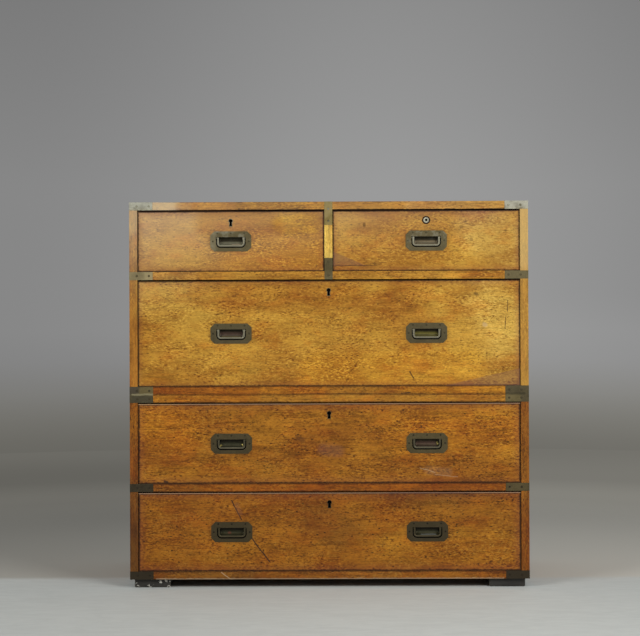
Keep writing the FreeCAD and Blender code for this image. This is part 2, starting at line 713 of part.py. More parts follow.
def case(name, base, height, openings, top_corner, split):
    """One case: dovetailed boards, back, rail, runners, brasses and carrying handles."""
    low_opening, high_opening = openings
    shelf = f"({base} + board + {low_opening})"
    ceiling = f"({base} + {height} - board)"
    blank_side = place(side_board(name, height), LEFT, FRONT, base)
    blank_sides = group(f"{name}_side_boards",
                        [blank_side, mirror(f"{name}_side_board_right", blank_side, X_AXIS)])

    corners = [strap(f"{name}_foot_strap", base), strap(f"{name}_head_strap", ceiling, top_corner)]
    metal = all_corners(f"{name}_straps", corners, [strap(f"{name}_rail_strap", shelf)])
    walls = []
    if split:
        wall, centre_straps = partition(name, shelf, ceiling)
        walls.append(wall)
        metal += centre_straps
    rail_end = f"({LEFT} + board - housing)"
    runners, frame, dust = framing(name, rail_end, shelf, walls)
    brasses = group(f"{name}_brass_set", metal)

    boards = back_boards(f"{name}_back_board", base, height)
    rail = box(f"{name}_rail_plain", [(rail_end, f"-{rail_end}"), (FRONT, f"{FRONT} + rail_depth"),
                                      (shelf, f"{shelf} + board")])
    carry = {}
    for piece in ("blank", "pan", "bail"):
        carry[piece] = handle_copy("carry", piece, f"{name}_left_carry_{piece}", LEFT, 0,
                                   f"{base} + {height} - carry_drop", quarter_turn=True)
    sides = carve(f"{name}_side_wood", blank_side,
                  [rail, runners[0], group(f"{name}_back_set", boards), brasses, carry["blank"]])
    mortised = carve(f"{name}_rail_wood", rail,
                     [dust, *walls, brasses, mortise(f"{name}_rail_mortise", "0", shelf)])
    return {"blank_sides": blank_sides, "sides": sides, "rail": mortised, "framing": frame,
            "boards": boards, "metal": metal, "brasses": brasses, "walls": walls, "carry": carry,
            "shelf": shelf, "ceiling": ceiling}


def whole_board(name, level):
    """A board as wide and deep as the case."""
    return box(name, [(LEFT, f"-{LEFT}"), (FRONT, REAR), (level, f"{level} + board")])


def finish_case(name, parts, top, bottom, studs=()):
    """The case's sub-parts, each in its own node."""
    node(f"{name}_top", [top])
    node(f"{name}_sides", [parts["sides"], mirror(f"{name}_side_wood_right", parts["sides"], X_AXIS)])
    node(f"{name}_bottom", [bottom])
    node(f"{name}_back_boards", parts["boards"])
    node(f"{name}_rail", [parts["rail"]])
    node(f"{name}_runners", parts["framing"])
    node(f"{name}_brasses", [*parts["metal"], *studs])
    carry = parts["carry"]
    node(f"{name}_carry_pans", [carry["pan"], mirror(f"{name}_right_carry_pan", carry["pan"], X_AXIS)])
    nodes.append(carry["bail"])
    nodes.append(mirror(f"{name}_right_carry_bail", carry["bail"], X_AXIS))


def stud(name, grow, rise):
    """The left locating stud, or the hole that it enters, and its mirror image."""
    pin = eight_sided(name, Z_AXIS, f"stud_radius + {grow}", f"stud_seat + stud_height + {rise}",
                   (f"{LEFT} + stud_inset", 0, f"{UPPER_BASE} - stud_seat"))
    return [pin, mirror(f"{name}_right", pin, X_AXIS)]


upper = case("upper", UPPER_BASE, UPPER_HEIGHT, ("deep_opening", "short_opening"), True, split=True)
upper["framing"] += stops("deep", f"{UPPER_BASE} + board", "0", LONG_WIDTH)
SHORT_FLOOR = f"({upper['shelf']} + board)"
for side, sign in (("left", "-"), ("right", "")):
    upper["framing"] += stops(f"short_{side}", SHORT_FLOOR, f"{sign}{HALF_BAY}", SHORT_WIDTH)
lower = case("lower", LOWER_BASE, LOWER_HEIGHT, ("bottom_opening", "third_opening"), False, split=False)
lower["framing"] += stops("bottom", f"{LOWER_BASE} + board", "0", LONG_WIDTH)
lower["framing"] += stops("third", f"{lower['shelf']} + board", "0", LONG_WIDTH)

studs = stud("stud", "0", "0")
stud_holes = group("stud_holes", stud("stud_hole", "stud_gap", "stud_gap"))
upper_top = carve("upper_top_wood", whole_board("upper_top_plain", upper["ceiling"]), [
    upper["blank_sides"], *upper["walls"], upper["brasses"],
    mortise("short_left_mortise", f"-{HALF_BAY}", upper["ceiling"]),
    mortise("short_right_mortise", HALF_BAY, upper["ceiling"])])
upper_bottom = carve("upper_bottom_wood", whole_board("upper_bottom_plain", UPPER_BASE), [
    upper["blank_sides"], upper["brasses"], stud_holes])
finish_case("upper", upper, upper_top, upper_bottom)
lower_top = carve("lower_top_wood", whole_board("lower_top_plain", lower["ceiling"]), [
    lower["blank_sides"], lower["brasses"], group("stud_set", studs),
    mortise("third_mortise", "0", lower["ceiling"])])
lower_bottom = carve("lower_bottom_wood", whole_board("lower_bottom_plain", LOWER_BASE), [
    lower["blank_sides"], lower["brasses"]])
finish_case("lower", lower, lower_top, lower_bottom, studs)

foot = padded("foot", "XY_Plane", [
    ("0", "0"), ("foot_width", "0"), ("foot_width", "foot_depth"), ("0", "foot_depth")], "foot_height")
round_edges(foot, "foot_edges", "foot_chamfer",
            lambda edge: edge.CenterOfMass.z < sheet_value("foot_height") - NEAR, kind="Chamfer")
place(foot, f"{LEFT} + foot_inset", f"{FRONT} + foot_inset", 0)
feet = [foot, mirror("foot_right", foot, X_AXIS)]
feet += [mirror(f"{piece.Name}_rear", piece, Y_AXIS) for piece in list(feet)]
node("feet", feet)

MIDDLE = [("centre", "0")]
PAIR = [("left", f"-{HALF_BAY}"), ("right", HALF_BAY)]
drawer("short_left", SHORT_WIDTH, "short_opening", f"-{HALF_BAY}", SHORT_FLOOR, MIDDLE,
       (DRAWER_PINS, SHORT_BACK_PINS))
drawer("short_right", SHORT_WIDTH, "short_opening", HALF_BAY, SHORT_FLOOR, MIDDLE,
       (DRAWER_PINS, SHORT_BACK_PINS), round_nozzle=True)
drawer("deep", LONG_WIDTH, "deep_opening", "0", f"({UPPER_BASE} + board)", PAIR,
       (DEEP_DRAWER_PINS, DEEP_DRAWER_PINS))
drawer("third", LONG_WIDTH, "third_opening", "0", f"({lower['shelf']} + board)", PAIR,
       (DRAWER_PINS, DRAWER_PINS))
drawer("bottom", LONG_WIDTH, "bottom_opening", "0", f"({LOWER_BASE} + board)", PAIR,
       (DRAWER_PINS, DRAWER_PINS))

doc.recompute()
for item in doc.Objects:
    if "Invalid" in item.State or "Error" in item.State:
        raise RuntimeError(f"{item.Label} failed: {item.State}")
for piece in nodes:
    if piece.Shape.isNull() or not piece.Shape.isValid() or not piece.Shape.Solids:
        raise RuntimeError(f"{piece.Label} has no valid solid")
os.makedirs("parts", exist_ok=True)
for piece in nodes:
    piece.Shape.exportStep(f"parts/{piece.Label}.step")
print(f"{len(nodes)} sub-parts written")
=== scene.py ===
"""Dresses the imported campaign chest: softened boards, cast pulls, screws, finishes and stage."""

import json
import math

import bmesh
import bpy
from bpy.props import FloatProperty, FloatVectorProperty, PointerProperty
from mathutils import Matrix, Vector

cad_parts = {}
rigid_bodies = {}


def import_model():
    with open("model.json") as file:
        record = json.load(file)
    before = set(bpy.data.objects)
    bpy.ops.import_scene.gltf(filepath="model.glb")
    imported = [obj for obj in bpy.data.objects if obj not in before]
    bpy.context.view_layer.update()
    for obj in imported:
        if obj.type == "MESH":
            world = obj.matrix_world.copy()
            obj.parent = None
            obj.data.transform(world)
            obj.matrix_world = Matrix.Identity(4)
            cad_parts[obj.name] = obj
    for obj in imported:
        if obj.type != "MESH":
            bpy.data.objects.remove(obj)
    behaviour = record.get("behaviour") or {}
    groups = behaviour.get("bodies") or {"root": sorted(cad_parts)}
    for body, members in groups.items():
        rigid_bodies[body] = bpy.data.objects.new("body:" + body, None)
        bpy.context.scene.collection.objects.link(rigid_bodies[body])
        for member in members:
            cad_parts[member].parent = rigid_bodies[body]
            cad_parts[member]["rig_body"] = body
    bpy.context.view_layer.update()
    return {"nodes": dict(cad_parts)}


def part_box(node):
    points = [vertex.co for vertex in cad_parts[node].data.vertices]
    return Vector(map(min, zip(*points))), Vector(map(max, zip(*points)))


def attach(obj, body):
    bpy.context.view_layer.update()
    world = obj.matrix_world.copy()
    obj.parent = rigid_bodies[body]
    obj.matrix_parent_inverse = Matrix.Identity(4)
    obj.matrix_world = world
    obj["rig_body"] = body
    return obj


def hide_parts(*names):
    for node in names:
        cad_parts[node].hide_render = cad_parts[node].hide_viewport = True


bl_info = {
    "name": "Campaign Chest",
    "version": (1, 0, 0),
    "blender": (4, 5, 0),
    "location": "View3D > Sidebar > Chest",
    "description": "Builds the visible pieces of a two-part campaign chest around its packed frame",
    "category": "Object",
}

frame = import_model()
MM = 0.001
CASES = ("upper", "lower")
SHORT_DRAWERS = ("short_left", "short_right")
LONG_DRAWERS = ("deep", "third", "bottom")
DRAWERS = SHORT_DRAWERS + LONG_DRAWERS


def middle_of(node):
    """Middle of a solid's box."""
    return tuple((low + high) / 2 for low, high in zip(*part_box(node)))


HALF_BAY = middle_of("short_right_bail")[0]
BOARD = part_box("lower_rail")[1].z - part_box("lower_rail")[0].z
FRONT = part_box("deep_drawer_front")[0].y
CASE_HALF, CASE_BACK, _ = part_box("upper_sides")[1]
CASE_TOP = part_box("upper_top")[1].z

# a flush handle: its metal, and how its parts lie to each other
PROUD = 0.3 * MM
PLATE = 2.5 * MM
CUP_WALL = 3.6 * MM
CUP_FLOOR = 1.5 * MM
CUP_ROUND = 5 * MM
WELL_ROUND = 2.2 * MM
BAIL_INSET = 0.2 * MM
BAIL_DROP = 0.4 * MM
PIN, PIN_BORE = 1.4 * MM, 1.45 * MM
PIN_REACH, BORE_REACH = 2.4 * MM, 2.45 * MM
# screws on a handle's plate, as shares of its width (x) and height (z)
HANDLE_SCREWS = ((-0.329, 0.4), (0, 0.4), (0.329, 0.4), (-0.437, 0), (0.437, 0))
# a screw head: how far it stands out, how far it goes in, and its slot's depth
HEAD_OUT, HEAD_IN, SLOT_DEPTH = 0.12 * MM, 0.5 * MM, 0.1 * MM
# shares of its radius: how far its rim reaches in, and half of its slot's length and width
HEAD_RIM, SLOT_RUN, SLOT_HALF = 0.16, 0.8, 0.15
# turn between two faces from which their edge is broken, stays sharp, or is there at all
BROKEN_TURN, SHARP_TURN, LEAST_TURN = (math.radians(turn) for turn in (32, 42, 0.5))


# Settings that a user may change ------------------------------------------------------------
def length(name, default):
    return FloatProperty(name=name, description=f"{name} in metres", default=default, min=0.0,
                         unit="LENGTH")


def colour(name, *parts):
    return FloatVectorProperty(name=name, description=f"{name} colour", subtype="COLOR", size=3,
                               default=tuple(linear(part) for part in parts), min=0.0, max=1.0)


def linear(part):
    """A colour part from 0 to 255 on the screen, as light."""
    share = part / 255
    return share / 12.92 if share <= 0.04045 else ((share + 0.055) / 1.055) ** 2.4


HANDLE_SIZES = (
    # setting, words, drawer pull, carrying handle
    ("width", "Plate width", 0.102, 0.132),
    ("height", "Plate height", 0.050, 0.064),
    ("cant", "Canted corner", 0.010, 0.013),
    ("open_width", "Opening width", 0.0735, 0.098),
    ("open_top", "Opening above the middle", 0.0106, 0.015),
    ("open_low", "Opening below the middle", 0.016, 0.021),
    ("open_corner", "Opening corner radius", 0.011, 0.012),
    ("ledge", "Depth of the bail's ledge", 0.0062, 0.0072),
    ("cup", "Depth of the cup", 0.013, 0.014),
    ("bail_width", "Bail width", 0.0685, 0.094),
    ("bail_arm", "Width of a bail arm", 0.0049, 0.007),
    ("bail_bar", "Height of the bail's bar", 0.0048, 0.0064),
    ("bail_thick", "Bail thickness", 0.0044, 0.0056),
    ("bail_inner", "Radius inside the bail's corners", 0.003, 0.004),
    ("bail_gap", "Gap round the bail", 0.0025, 0.002),
)


def handle_settings(title, column):
    fields = {row[0]: length(row[1], row[column]) for row in HANDLE_SIZES}
    return type(title, (bpy.types.PropertyGroup,), {"__annotations__": fields})


PullSizes = handle_settings("PullSizes", 2)
CarrySizes = handle_settings("CarrySizes", 3)


class DetailSizes(bpy.types.PropertyGroup):
    board_edge: length("Softened edge of a board", 0.0007)
    brass_edge: length("Softened edge of a strap", 0.00025)
    casting_edge: length("Softened edge of a casting", 0.0004)
    bail_edge: length("Rounding of a bail", 0.0012)
    foot_edge: length("Rounding of a foot", 0.0012)
    screw_head: length("Radius of a strap screw's head", 0.0028)
    pull_screw_head: length("Radius of a pull screw's head", 0.0022)
    scoop: length("Radius of the finger scoop", 0.0085)
    key_drop: length("Keyholes below the fronts' tops", 0.0239)
    boss: length("Radius of the nozzle's boss", 0.0072)
    key_bore: length("Radius of the nozzle's bore", 0.0031)


class Finishes(bpy.types.PropertyGroup):
    honey: colour("Unpolished golden wood", 218, 178, 80)
    gold: colour("Golden wood of the upper drawers", 180, 128, 40)
    brown: colour("Brown wood of the lower drawers", 150, 92, 16)
    russet: colour("Dark reddish wood", 122, 66, 12)
    umber: colour("Dark pores and knots", 56, 28, 10)
    # the next two colours stand for old varnish and dirt, and also for painted shade at edges, gaps
    # and recesses
    red_varnish_and_shade: colour("Old varnish and painted shade along the edges", 122, 62, 40)
    grime: colour("Old wax, dirt and painted shade in the corners", 30, 14, 5)
    # this pale colour also serves as a painted highlight on the upper arris
    rubbed_wood: colour("Arrises rubbed down to bare wood", 172, 136, 106)
    lining: colour("Unpolished lining wood", 150, 112, 66)
    # pale brass also paints the brass's reflection, and the tarnish colour also paints its shade
    pale_brass_and_reflection: colour("Rubbed brass and painted reflection", 198, 195, 172)
    olive_brass: colour("Dull brass", 112, 101, 70)
    dark_brass_and_shade: colour("Tarnish", 56, 48, 35)
    black_paint: colour("Black paint", 40, 37, 31)


# Hands: small steps of modelling ------------------------------------------------------------
def only(piece):
    """Selects just this piece."""
    bpy.ops.object.select_all(action="DESELECT")
    piece.select_set(True)
    bpy.context.view_layer.objects.active = piece


def choose(piece, kind, wanted):
    """Opens the piece in edit mode with the corners, edges or faces selected that wanted picks."""
    only(piece)
    bpy.ops.object.mode_set(mode="EDIT")
    bpy.ops.mesh.select_mode(type=kind)
    bpy.ops.mesh.select_all(action="DESELECT")
    shape = bmesh.from_edit_mesh(piece.data)
    parts = {"VERT": shape.verts, "EDGE": shape.edges, "FACE": shape.faces}[kind]
    picked = [part for part in parts if wanted(part)]
    if not picked:
        raise RuntimeError(f"nothing to select on {piece.name}")
    for part in picked:
        part.select_set(True)
    shape.select_flush_mode()
    bmesh.update_edit_mesh(piece.data)


def leave():
    bpy.ops.object.mode_set(mode="OBJECT")


def put_in(name, data):
    """A new object of the scene."""
    made = bpy.data.objects.new(name, data)
    bpy.context.scene.collection.objects.link(made)
    return made


def settle(piece):
    """Puts the piece's place into its mesh."""
    only(piece)
    bpy.ops.object.transform_apply(location=True, rotation=True, scale=True)
    return piece


def block(name, low, high):
    """A block between two corners, to be shaped further."""
    low, high = Vector(low), Vector(high)
    bpy.ops.mesh.primitive_cube_add(size=1, location=(low + high) / 2)
    piece = bpy.context.active_object
    piece.name = name
    piece.scale = high - low
    return settle(piece)


def bar(name, radius, start, end, sides=32):
    """A round bar from one point to another."""
    start, end = Vector(start), Vector(end)
    bpy.ops.mesh.primitive_cylinder_add(vertices=sides, radius=radius, depth=(end - start).length,
                                        location=(start + end) / 2)
    piece = bpy.context.active_object
    piece.name = name
    piece.rotation_mode = "QUATERNION"
    piece.rotation_quaternion = (end - start).to_track_quat("Z", "Y")
    return settle(piece)


def along(edge, axis):
    """Whether an edge runs along an axis."""
    line = edge.verts[1].co - edge.verts[0].co
    return line.length > 0 and abs(line.normalized()[axis]) > 0.999


def low_corner(edge, axis):
    """Whether an edge runs along an axis below the middle."""
    return along(edge, axis) and edge.verts[0].co.z < 0


def round_off(piece, radius, wanted, segments):
    """Rounds or, with one segment, cants the edges that wanted picks."""
    choose(piece, "EDGE", wanted)
    bpy.ops.mesh.bevel(offset=radius, segments=segments, affect="EDGES")
    leave()


def modify(piece, kind, **settings):
    """Changes the piece by a modifier and applies it."""
    only(piece)
    bpy.ops.object.modifier_add(type=kind)
    for setting, value in settings.items():
        setattr(piece.modifiers[-1], setting, value)
    bpy.ops.object.modifier_apply(modifier=piece.modifiers[-1].name)


def combine(piece, tool, how):
    """Joins the tool to the piece or cuts it away, and uses the tool up."""
    modify(piece, "BOOLEAN", operation=how, object=tool, solver="EXACT")
    bpy.data.objects.remove(tool)
    return piece


def soften(piece, width, segments=2):
    """Breaks every sharp edge of the piece by a small round."""
    modify(piece, "BEVEL", width=width, segments=segments, limit_method="ANGLE",
           angle_limit=BROKEN_TURN)
    return smooth_rounds(piece)


def smooth_rounds(piece):
    """Shades the rounds smooth and keeps the faces between them flat."""
    only(piece)
    bpy.ops.object.shade_smooth_by_angle(angle=SHARP_TURN)
    modify(piece, "WEIGHTED_NORMAL", weight=100, keep_sharp=True)
    return piece


def copy_to(piece, name, place, turn=0.0):
    """A copy with a mesh of its own, turned about the vertical and put at a place."""
    copy = put_in(name, piece.data.copy())
    copy.rotation_euler = (0, 0, turn)
    copy.location = place
    return settle(copy)


def join(pieces, name):
    """One piece made of several."""
    only(pieces[0])
    for piece in pieces:
        piece.select_set(True)
    bpy.ops.object.join()
    pieces[0].name = name
    return pieces[0]


def refinish(piece, material):
    piece.data.materials.clear()
    piece.data.materials.append(material)


def finish_piece(piece, body, material, replaced=()):
    """Gives a piece its finish, its body and the frame's solids that it stands for."""
    refinish(piece, material)
    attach(piece, body)
    if replaced:
        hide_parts(*replaced)


def softened_copy(node, name, width, material):
    """A copy of a solid of the frame with its edges broken, as a hand plane or wear leaves them."""
    solid = frame["nodes"][node]
    piece = put_in(name, solid.data.copy())
    choose(piece, "VERT", lambda corner: True)
    bpy.ops.mesh.remove_doubles(threshold=0.01 * MM)
    bpy.ops.mesh.dissolve_limited(angle_limit=LEAST_TURN)
    leave()
    soften(piece, width)
    finish_piece(piece, solid["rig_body"], material, [node])


# Finishes: shader node trees ----------------------------------------------------------------
class Wiring:
    """Adds nodes to one tree and joins them."""

    def __init__(self, tree):
        self.tree = tree

    def feed(self, node, inputs):
        """Joins or sets the inputs of a node."""
        for socket, value in inputs.items():
            if isinstance(value, bpy.types.NodeSocket):
                self.tree.links.new(value, node.inputs[socket])
            else:
                node.inputs[socket].default_value = value

    def add(self, kind, inputs=None, output=0, **settings):
        made = self.tree.nodes.new(f"ShaderNode{kind}")
        for setting, value in settings.items():
            setattr(made, setting, value)
        self.feed(made, inputs or {})
        return made.outputs[output]

    def group(self, name, inputs):
        """The results of a shared group."""
        return self.add("Group", inputs, node_tree=bpy.data.node_groups[name]).node.outputs

    def math(self, how, first, second=0.0, **settings):
        return self.add("Math", {0: first, 1: second}, operation=how, **settings)

    def chain(self, how, first, *others):
        for other in others:
            first = self.math(how, first, other)
        return first

    def plus(self, *values):
        return self.chain("ADD", *values)

    def minus(self, first, second):
        return self.math("SUBTRACT", first, second)

    def times(self, *values):
        return self.chain("MULTIPLY", *values)

    def least(self, *values):
        return self.chain("MINIMUM", *values)

    def most(self, *values):
        return self.chain("MAXIMUM", *values)

    def vector(self, how, first, second=(0, 0, 0), output=0):
        return self.add("VectorMath", {0: first, 1: second}, output, operation=how)

    def scale(self, vector, share):
        return self.add("VectorMath", {0: vector, "Scale": share}, operation="SCALE")

    def parts(self, vector):
        return self.add("SeparateXYZ", {0: vector}).node.outputs

    def axes(self, facing):
        """How far a surface faces along each axis."""
        return self.parts(self.vector("ABSOLUTE", facing))

    def remap(self, value, low, high, to_low=0.0, to_high=1.0):
        return self.add("MapRange", {0: value, 1: low, 2: high, 3: to_low, 4: to_high},
                        interpolation_type="SMOOTHSTEP")

    def mix(self, factor, first, second, how="MIX"):
        return self.add("Mix", {0: factor, 6: first, 7: second}, 2, data_type="RGBA",
                        blend_type=how)

    def lay(self, base, mask, colour, strength=None, how="MIX"):
        """A colour laid over another where a mask shows it, at a strength."""
        if strength is not None:
            mask = self.times(mask, strength)
        return self.mix(mask, base, colour, how)

    def noise(self, place, waves, detail=3.0, roughness=0.55, distortion=0.0):
        """Noise with so many waves to the metre, the same or different along each axis."""
        stretch = waves if isinstance(waves, tuple) else (waves,) * 3
        return self.add("TexNoise", {"Vector": self.vector("MULTIPLY", place, stretch),
                                     "Scale": 1.0, "Detail": detail, "Roughness": roughness,
                                     "Distortion": distortion})

    def bend(self, place, waves, detail, reach):
        """A place pushed about by noise, by as many metres as its reach."""
        push = self.add("TexNoise", {"Vector": place, "Scale": waves, "Detail": detail}, "Color")
        push = self.scale(self.vector("SUBTRACT", push, (0.5, 0.5, 0.5)), reach)
        return self.vector("ADD", place, push)

    def turn(self, place, grain):
        """A place turned so that the grain runs along X."""
        turns = {"X": (0, 0, 0), "Y": (0, 0, math.pi / 2), "Z": (0, math.pi / 2, 0)}
        return self.add("Mapping", {"Vector": place, "Rotation": turns[grain]}, vector_type="POINT")

    def end_grain(self, facing, grain, strength=1.0):
        """Where the surface cuts across the grain."""
        return self.remap(self.axes(facing)["XYZ".index(grain)], 0.7, 0.9, 0.0, strength)

    def surface(self, base, rough, relief=None, strength=0.0, distance=0.5 * MM, levels=None):
        """Gives the main shader its colour, its roughness, its relief and any other levels."""
        shader = self.tree.nodes["Principled BSDF"]
        self.feed(shader, {"Base Color": base, "Roughness": rough, **(levels or {})})
        if relief is not None:
            bump = self.add("Bump", {"Height": relief, "Strength": strength, "Distance": distance})
            self.feed(shader, {"Normal": bump})


def new_group(name, vectors, values, results):
    """An empty shader node group: its wiring, what it is given and where its results go."""
    tree = bpy.data.node_groups.new(name, "ShaderNodeTree")
    for way, kind, labels in (("INPUT", "Vector", vectors), ("INPUT", "Float", values),
                              ("OUTPUT", "Float", results)):
        for label in labels:
            tree.interface.new_socket(label, in_out=way, socket_type=f"NodeSocket{kind}")
    given, out = tree.nodes.new("NodeGroupInput"), tree.nodes.new("NodeGroupOutput")
    return Wiring(tree), given.outputs, out


def wood_grain():
    """Figure of the wood, with the grain along X."""
    wire, given, out = new_group("wood_grain", ["Place"], ["Seed"],
                                 ["Mottle", "Streak", "Fibre", "Pore", "Fleck", "Pit"])
    seed = given["Seed"]
    shift = wire.add("CombineXYZ", {0: seed, 1: wire.times(seed, 0.37), 2: wire.times(seed, 1.71)})
    place = wire.vector("ADD", given["Place"], shift)
    bent = wire.bend(place, 4.0, 2.0, 0.02)
    thread = wire.noise(bent, (17, 300, 300), 3, 0.6)
    blotch = wire.noise(bent, (26, 95, 95), 4, 0.7)
    # dark pores in crowds
    crowd = wire.remap(wire.noise(place, (9, 20, 20), 3, 0.55), 0.42, 0.62, 0.12, 1.0)
    dots = wire.remap(wire.noise(place, (150, 380, 380), 2, 0.5), 0.58, 0.66)
    # pale flecks and broken lines in crowds of their own
    other = wire.vector("ADD", place, (3.3, 1.9, 4.7))
    flecked = wire.remap(wire.noise(other, (11, 22, 22), 3, 0.55), 0.42, 0.60, 0.1, 1.0)
    flecks = wire.remap(wire.noise(other, (130, 240, 240), 2, 0.5), 0.56, 0.66)
    line = wire.math("ABSOLUTE", wire.minus(wire.noise(other, (42, 105, 105), 3, 0.6), 0.5))
    broken = wire.remap(wire.noise(place, 75, 2), 0.46, 0.54)
    lines = wire.times(wire.remap(line, 0.006, 0.02, 1.0, 0.0), broken)
    # single deep pits
    cell = wire.add("TexVoronoi", {"Vector": wire.vector("MULTIPLY", place, (58, 100, 100)),
                                   "Scale": 1.0}).node.outputs
    chance = wire.remap(wire.parts(cell["Color"])[0], 0.66, 0.70)
    wire.feed(out, {"Mottle": wire.noise(bent, (5, 12, 12), 4, 0.6),
                    "Streak": wire.noise(bent, (9, 110, 110), 5, 0.6),
                    "Fibre": wire.mix(0.5, thread, blotch),
                    "Pore": wire.times(dots, crowd),
                    "Fleck": wire.times(wire.most(flecks, lines), flecked),
                    "Pit": wire.times(wire.remap(cell["Distance"], 0.10, 0.22, 1.0, 0.0), chance)})


def edge_grime():
    """Nearness to the sides of a box, leaving out the axis that the surface faces: where dirt and
    painted shade lie along edges and gaps.
    """
    wire, given, out = new_group("edge_grime", ["Place", "Facing", "Low", "High"], ["Reach"],
                                 ["Mask", "Wide"])
    place = given["Place"]
    gap = wire.vector("MINIMUM", wire.vector("SUBTRACT", place, given["Low"]),
                      wire.vector("SUBTRACT", given["High"], place))
    away = wire.vector("ADD", gap, wire.vector("ABSOLUTE", given["Facing"]))
    share = wire.math("DIVIDE", wire.least(*wire.parts(away)), given["Reach"])
    ragged = wire.plus(share, wire.times(wire.minus(wire.noise(place, 150), 0.5), 0.9))
    wire.feed(out, {"Mask": wire.remap(ragged, 0.2, 1.1, 1.0, 0.0),
                    "Wide": wire.remap(ragged, 0.0, 5.0, 1.0, 0.0)})


def stroke():
    """A scratch, crack or spot: nearness to a line in the XZ plane."""
    wire, given, out = new_group("stroke", ["Place", "Start", "End"], ["Width"], ["Mask"])
    flat = wire.vector("MULTIPLY", wire.bend(given["Place"], 90.0, 3.0, 0.004), (1, 0, 1))
    reach = wire.vector("SUBTRACT", given["End"], given["Start"])
    offset = wire.vector("SUBTRACT", flat, given["Start"])
    part = wire.math("DIVIDE", wire.vector("DOT_PRODUCT", offset, reach, "Value"),
                     wire.vector("DOT_PRODUCT", reach, reach, "Value"), use_clamp=True)
    away = wire.vector("SUBTRACT", offset, wire.scale(reach, part))
    share = wire.math("DIVIDE", wire.vector("LENGTH", away, output="Value"), given["Width"])
    wire.feed(out, {"Mask": wire.remap(share, 0.35, 1.0, 1.0, 0.0)})


def below_line():
    """The lower side of a line in the XZ plane."""
    wire, given, out = new_group("below_line", ["Place", "Start", "End"], [], ["Mask"])
    here = wire.parts(wire.vector("SUBTRACT", given["Place"], given["Start"]))
    reach = wire.vector("SUBTRACT", given["End"], given["Start"])
    run = wire.parts(wire.vector("NORMALIZE", reach))
    side = wire.minus(wire.times(run[2], here[0]), wire.times(run[0], here[2]))
    wire.feed(out, {"Mask": wire.remap(side, -0.6 * MM, 0.6 * MM)})


def edge_wear():
    """Rubbed edges: where the surface turns between two flat faces."""
    wire, given, out = new_group("edge_wear", ["Place", "Facing"], [], ["Mask"])
    worn = wire.remap(wire.most(*wire.axes(given["Facing"])), 0.80, 0.97, 1.0, 0.0)
    patchy = wire.remap(wire.noise(given["Place"], 90), 0.35, 0.6)
    wire.feed(out, {"Mask": wire.times(worn, patchy)})


def tarnish():
    """Clouds, specks and scratches of old metal."""
    wire, given, out = new_group("tarnish", ["Place"], [], ["Cloud", "Speck", "Scratch"])
    place = given["Place"]
    wire.feed(out, {"Cloud": wire.noise(place, 55, 5, 0.65),
                    "Speck": wire.remap(wire.noise(place, 420, 2), 0.62, 0.70),
                    "Scratch": wire.remap(wire.noise(place, (60, 900, 900), 2), 0.66, 0.72)})


def new_material(name):
    """A material, its wiring, and the places and facings of its surface."""
    material = bpy.data.materials.new(name)
    material.use_nodes = True
    wire = Wiring(material.node_tree)
    spots = wire.add("TexCoord").node.outputs
    return material, wire, spots["Object"], spots["Normal"]


def tinted(tone, shares):
    """A colour with its red, green and blue each taken at a share."""
    return (*(part * share for part, share in zip(tone, shares)), 1.0)


def shade(setting, share=1.0):
    """A colour of the settings, darkened to a share."""
    return tinted(getattr(bpy.context.scene.chest_finishes, setting), (share,) * 3)


def blend(first, second, share):
    return tuple(a + (b - a) * share for a, b in zip(first, second))


def wood_tone(age, share=1.0):
    """Colour of polished wood from honey at age 0 through gold and brown to russet at age 3."""
    names = ("honey", "gold", "brown", "russet")
    young = min(int(age), 2)
    tone = blend(shade(names[young]), shade(names[young + 1]), age - young)
    return tinted(tone, (share,) * 3)


def sunk_depth(wire, place):
    """How deep a place lies below the chest's outer faces, in metres."""
    across, back, up = wire.parts(place)
    return wire.least(wire.minus(CASE_HALF, wire.math("ABSOLUTE", across)),
                      wire.minus(back, FRONT), wire.minus(CASE_BACK, back),
                      wire.minus(CASE_TOP, up))


def line_mask(wire, group, place, ends, width=None):
    """How near a place is to a line between two ends (x, z), or whether it lies below it."""
    x, z, end_x, end_z = ends
    given = {"Place": place, "Start": (x, 0, z), "End": (end_x, 0, end_z)}
    if width is not None:
        given["Width"] = width
    return wire.group(group, given)[0]


def marked(wire, place, base, marks):
    """The colour of a front with strokes and patches laid over it."""
    fade = wire.remap(wire.parts(place)[1], FRONT + 13 * MM, FRONT + 28 * MM, 1.0, 0.0)
    for kind, *measures, strength, tint in marks:
        x, z, end_x, end_z, width = (measure * MM for measure in measures)
        if kind == "below":
            mask = line_mask(wire, "below_line", place, (x, z, end_x, end_z))
            if width:
                upper = line_mask(wire, "below_line", place, (end_x, width, x, width))
                mask = wire.times(mask, upper)
        else:
            mask = line_mask(wire, "stroke", place, (x, z, end_x, end_z), width)
        base = wire.lay(base, wire.times(mask, strength, fade), (*tint, 1),
                        how="MULTIPLY" if kind == "wash" else "MIX")
    return base


# pattern, two levels between which it comes on, strength, and the tone's share of light
FIGURES = (("streak", 0.49, 0.36, 0.42, 0.45), ("streak", 0.54, 0.66, 0.32, 1.5),
           ("fibre", 0.49, 0.40, 0.42, 0.38), ("fibre", 0.52, 0.61, 0.36, 1.7))
WARM_SHARES, PALE_SHARES = (0.74, 0.62, 0.45), (1.18, 1.28, 1.4)
# the last of these is the pale tone of the painted sheen toward the top
RED_FLUSH, DARK_GRIT, PAINTED_SHEEN = (0.98, 0.74, 0.52, 1), (0.42, 0.33, 0.24, 1), (0.74, 0.70, 0.62, 1)
POLISH = {"Specular IOR Level": 0.2, "Coat Weight": 0.02, "Coat Roughness": 0.35}


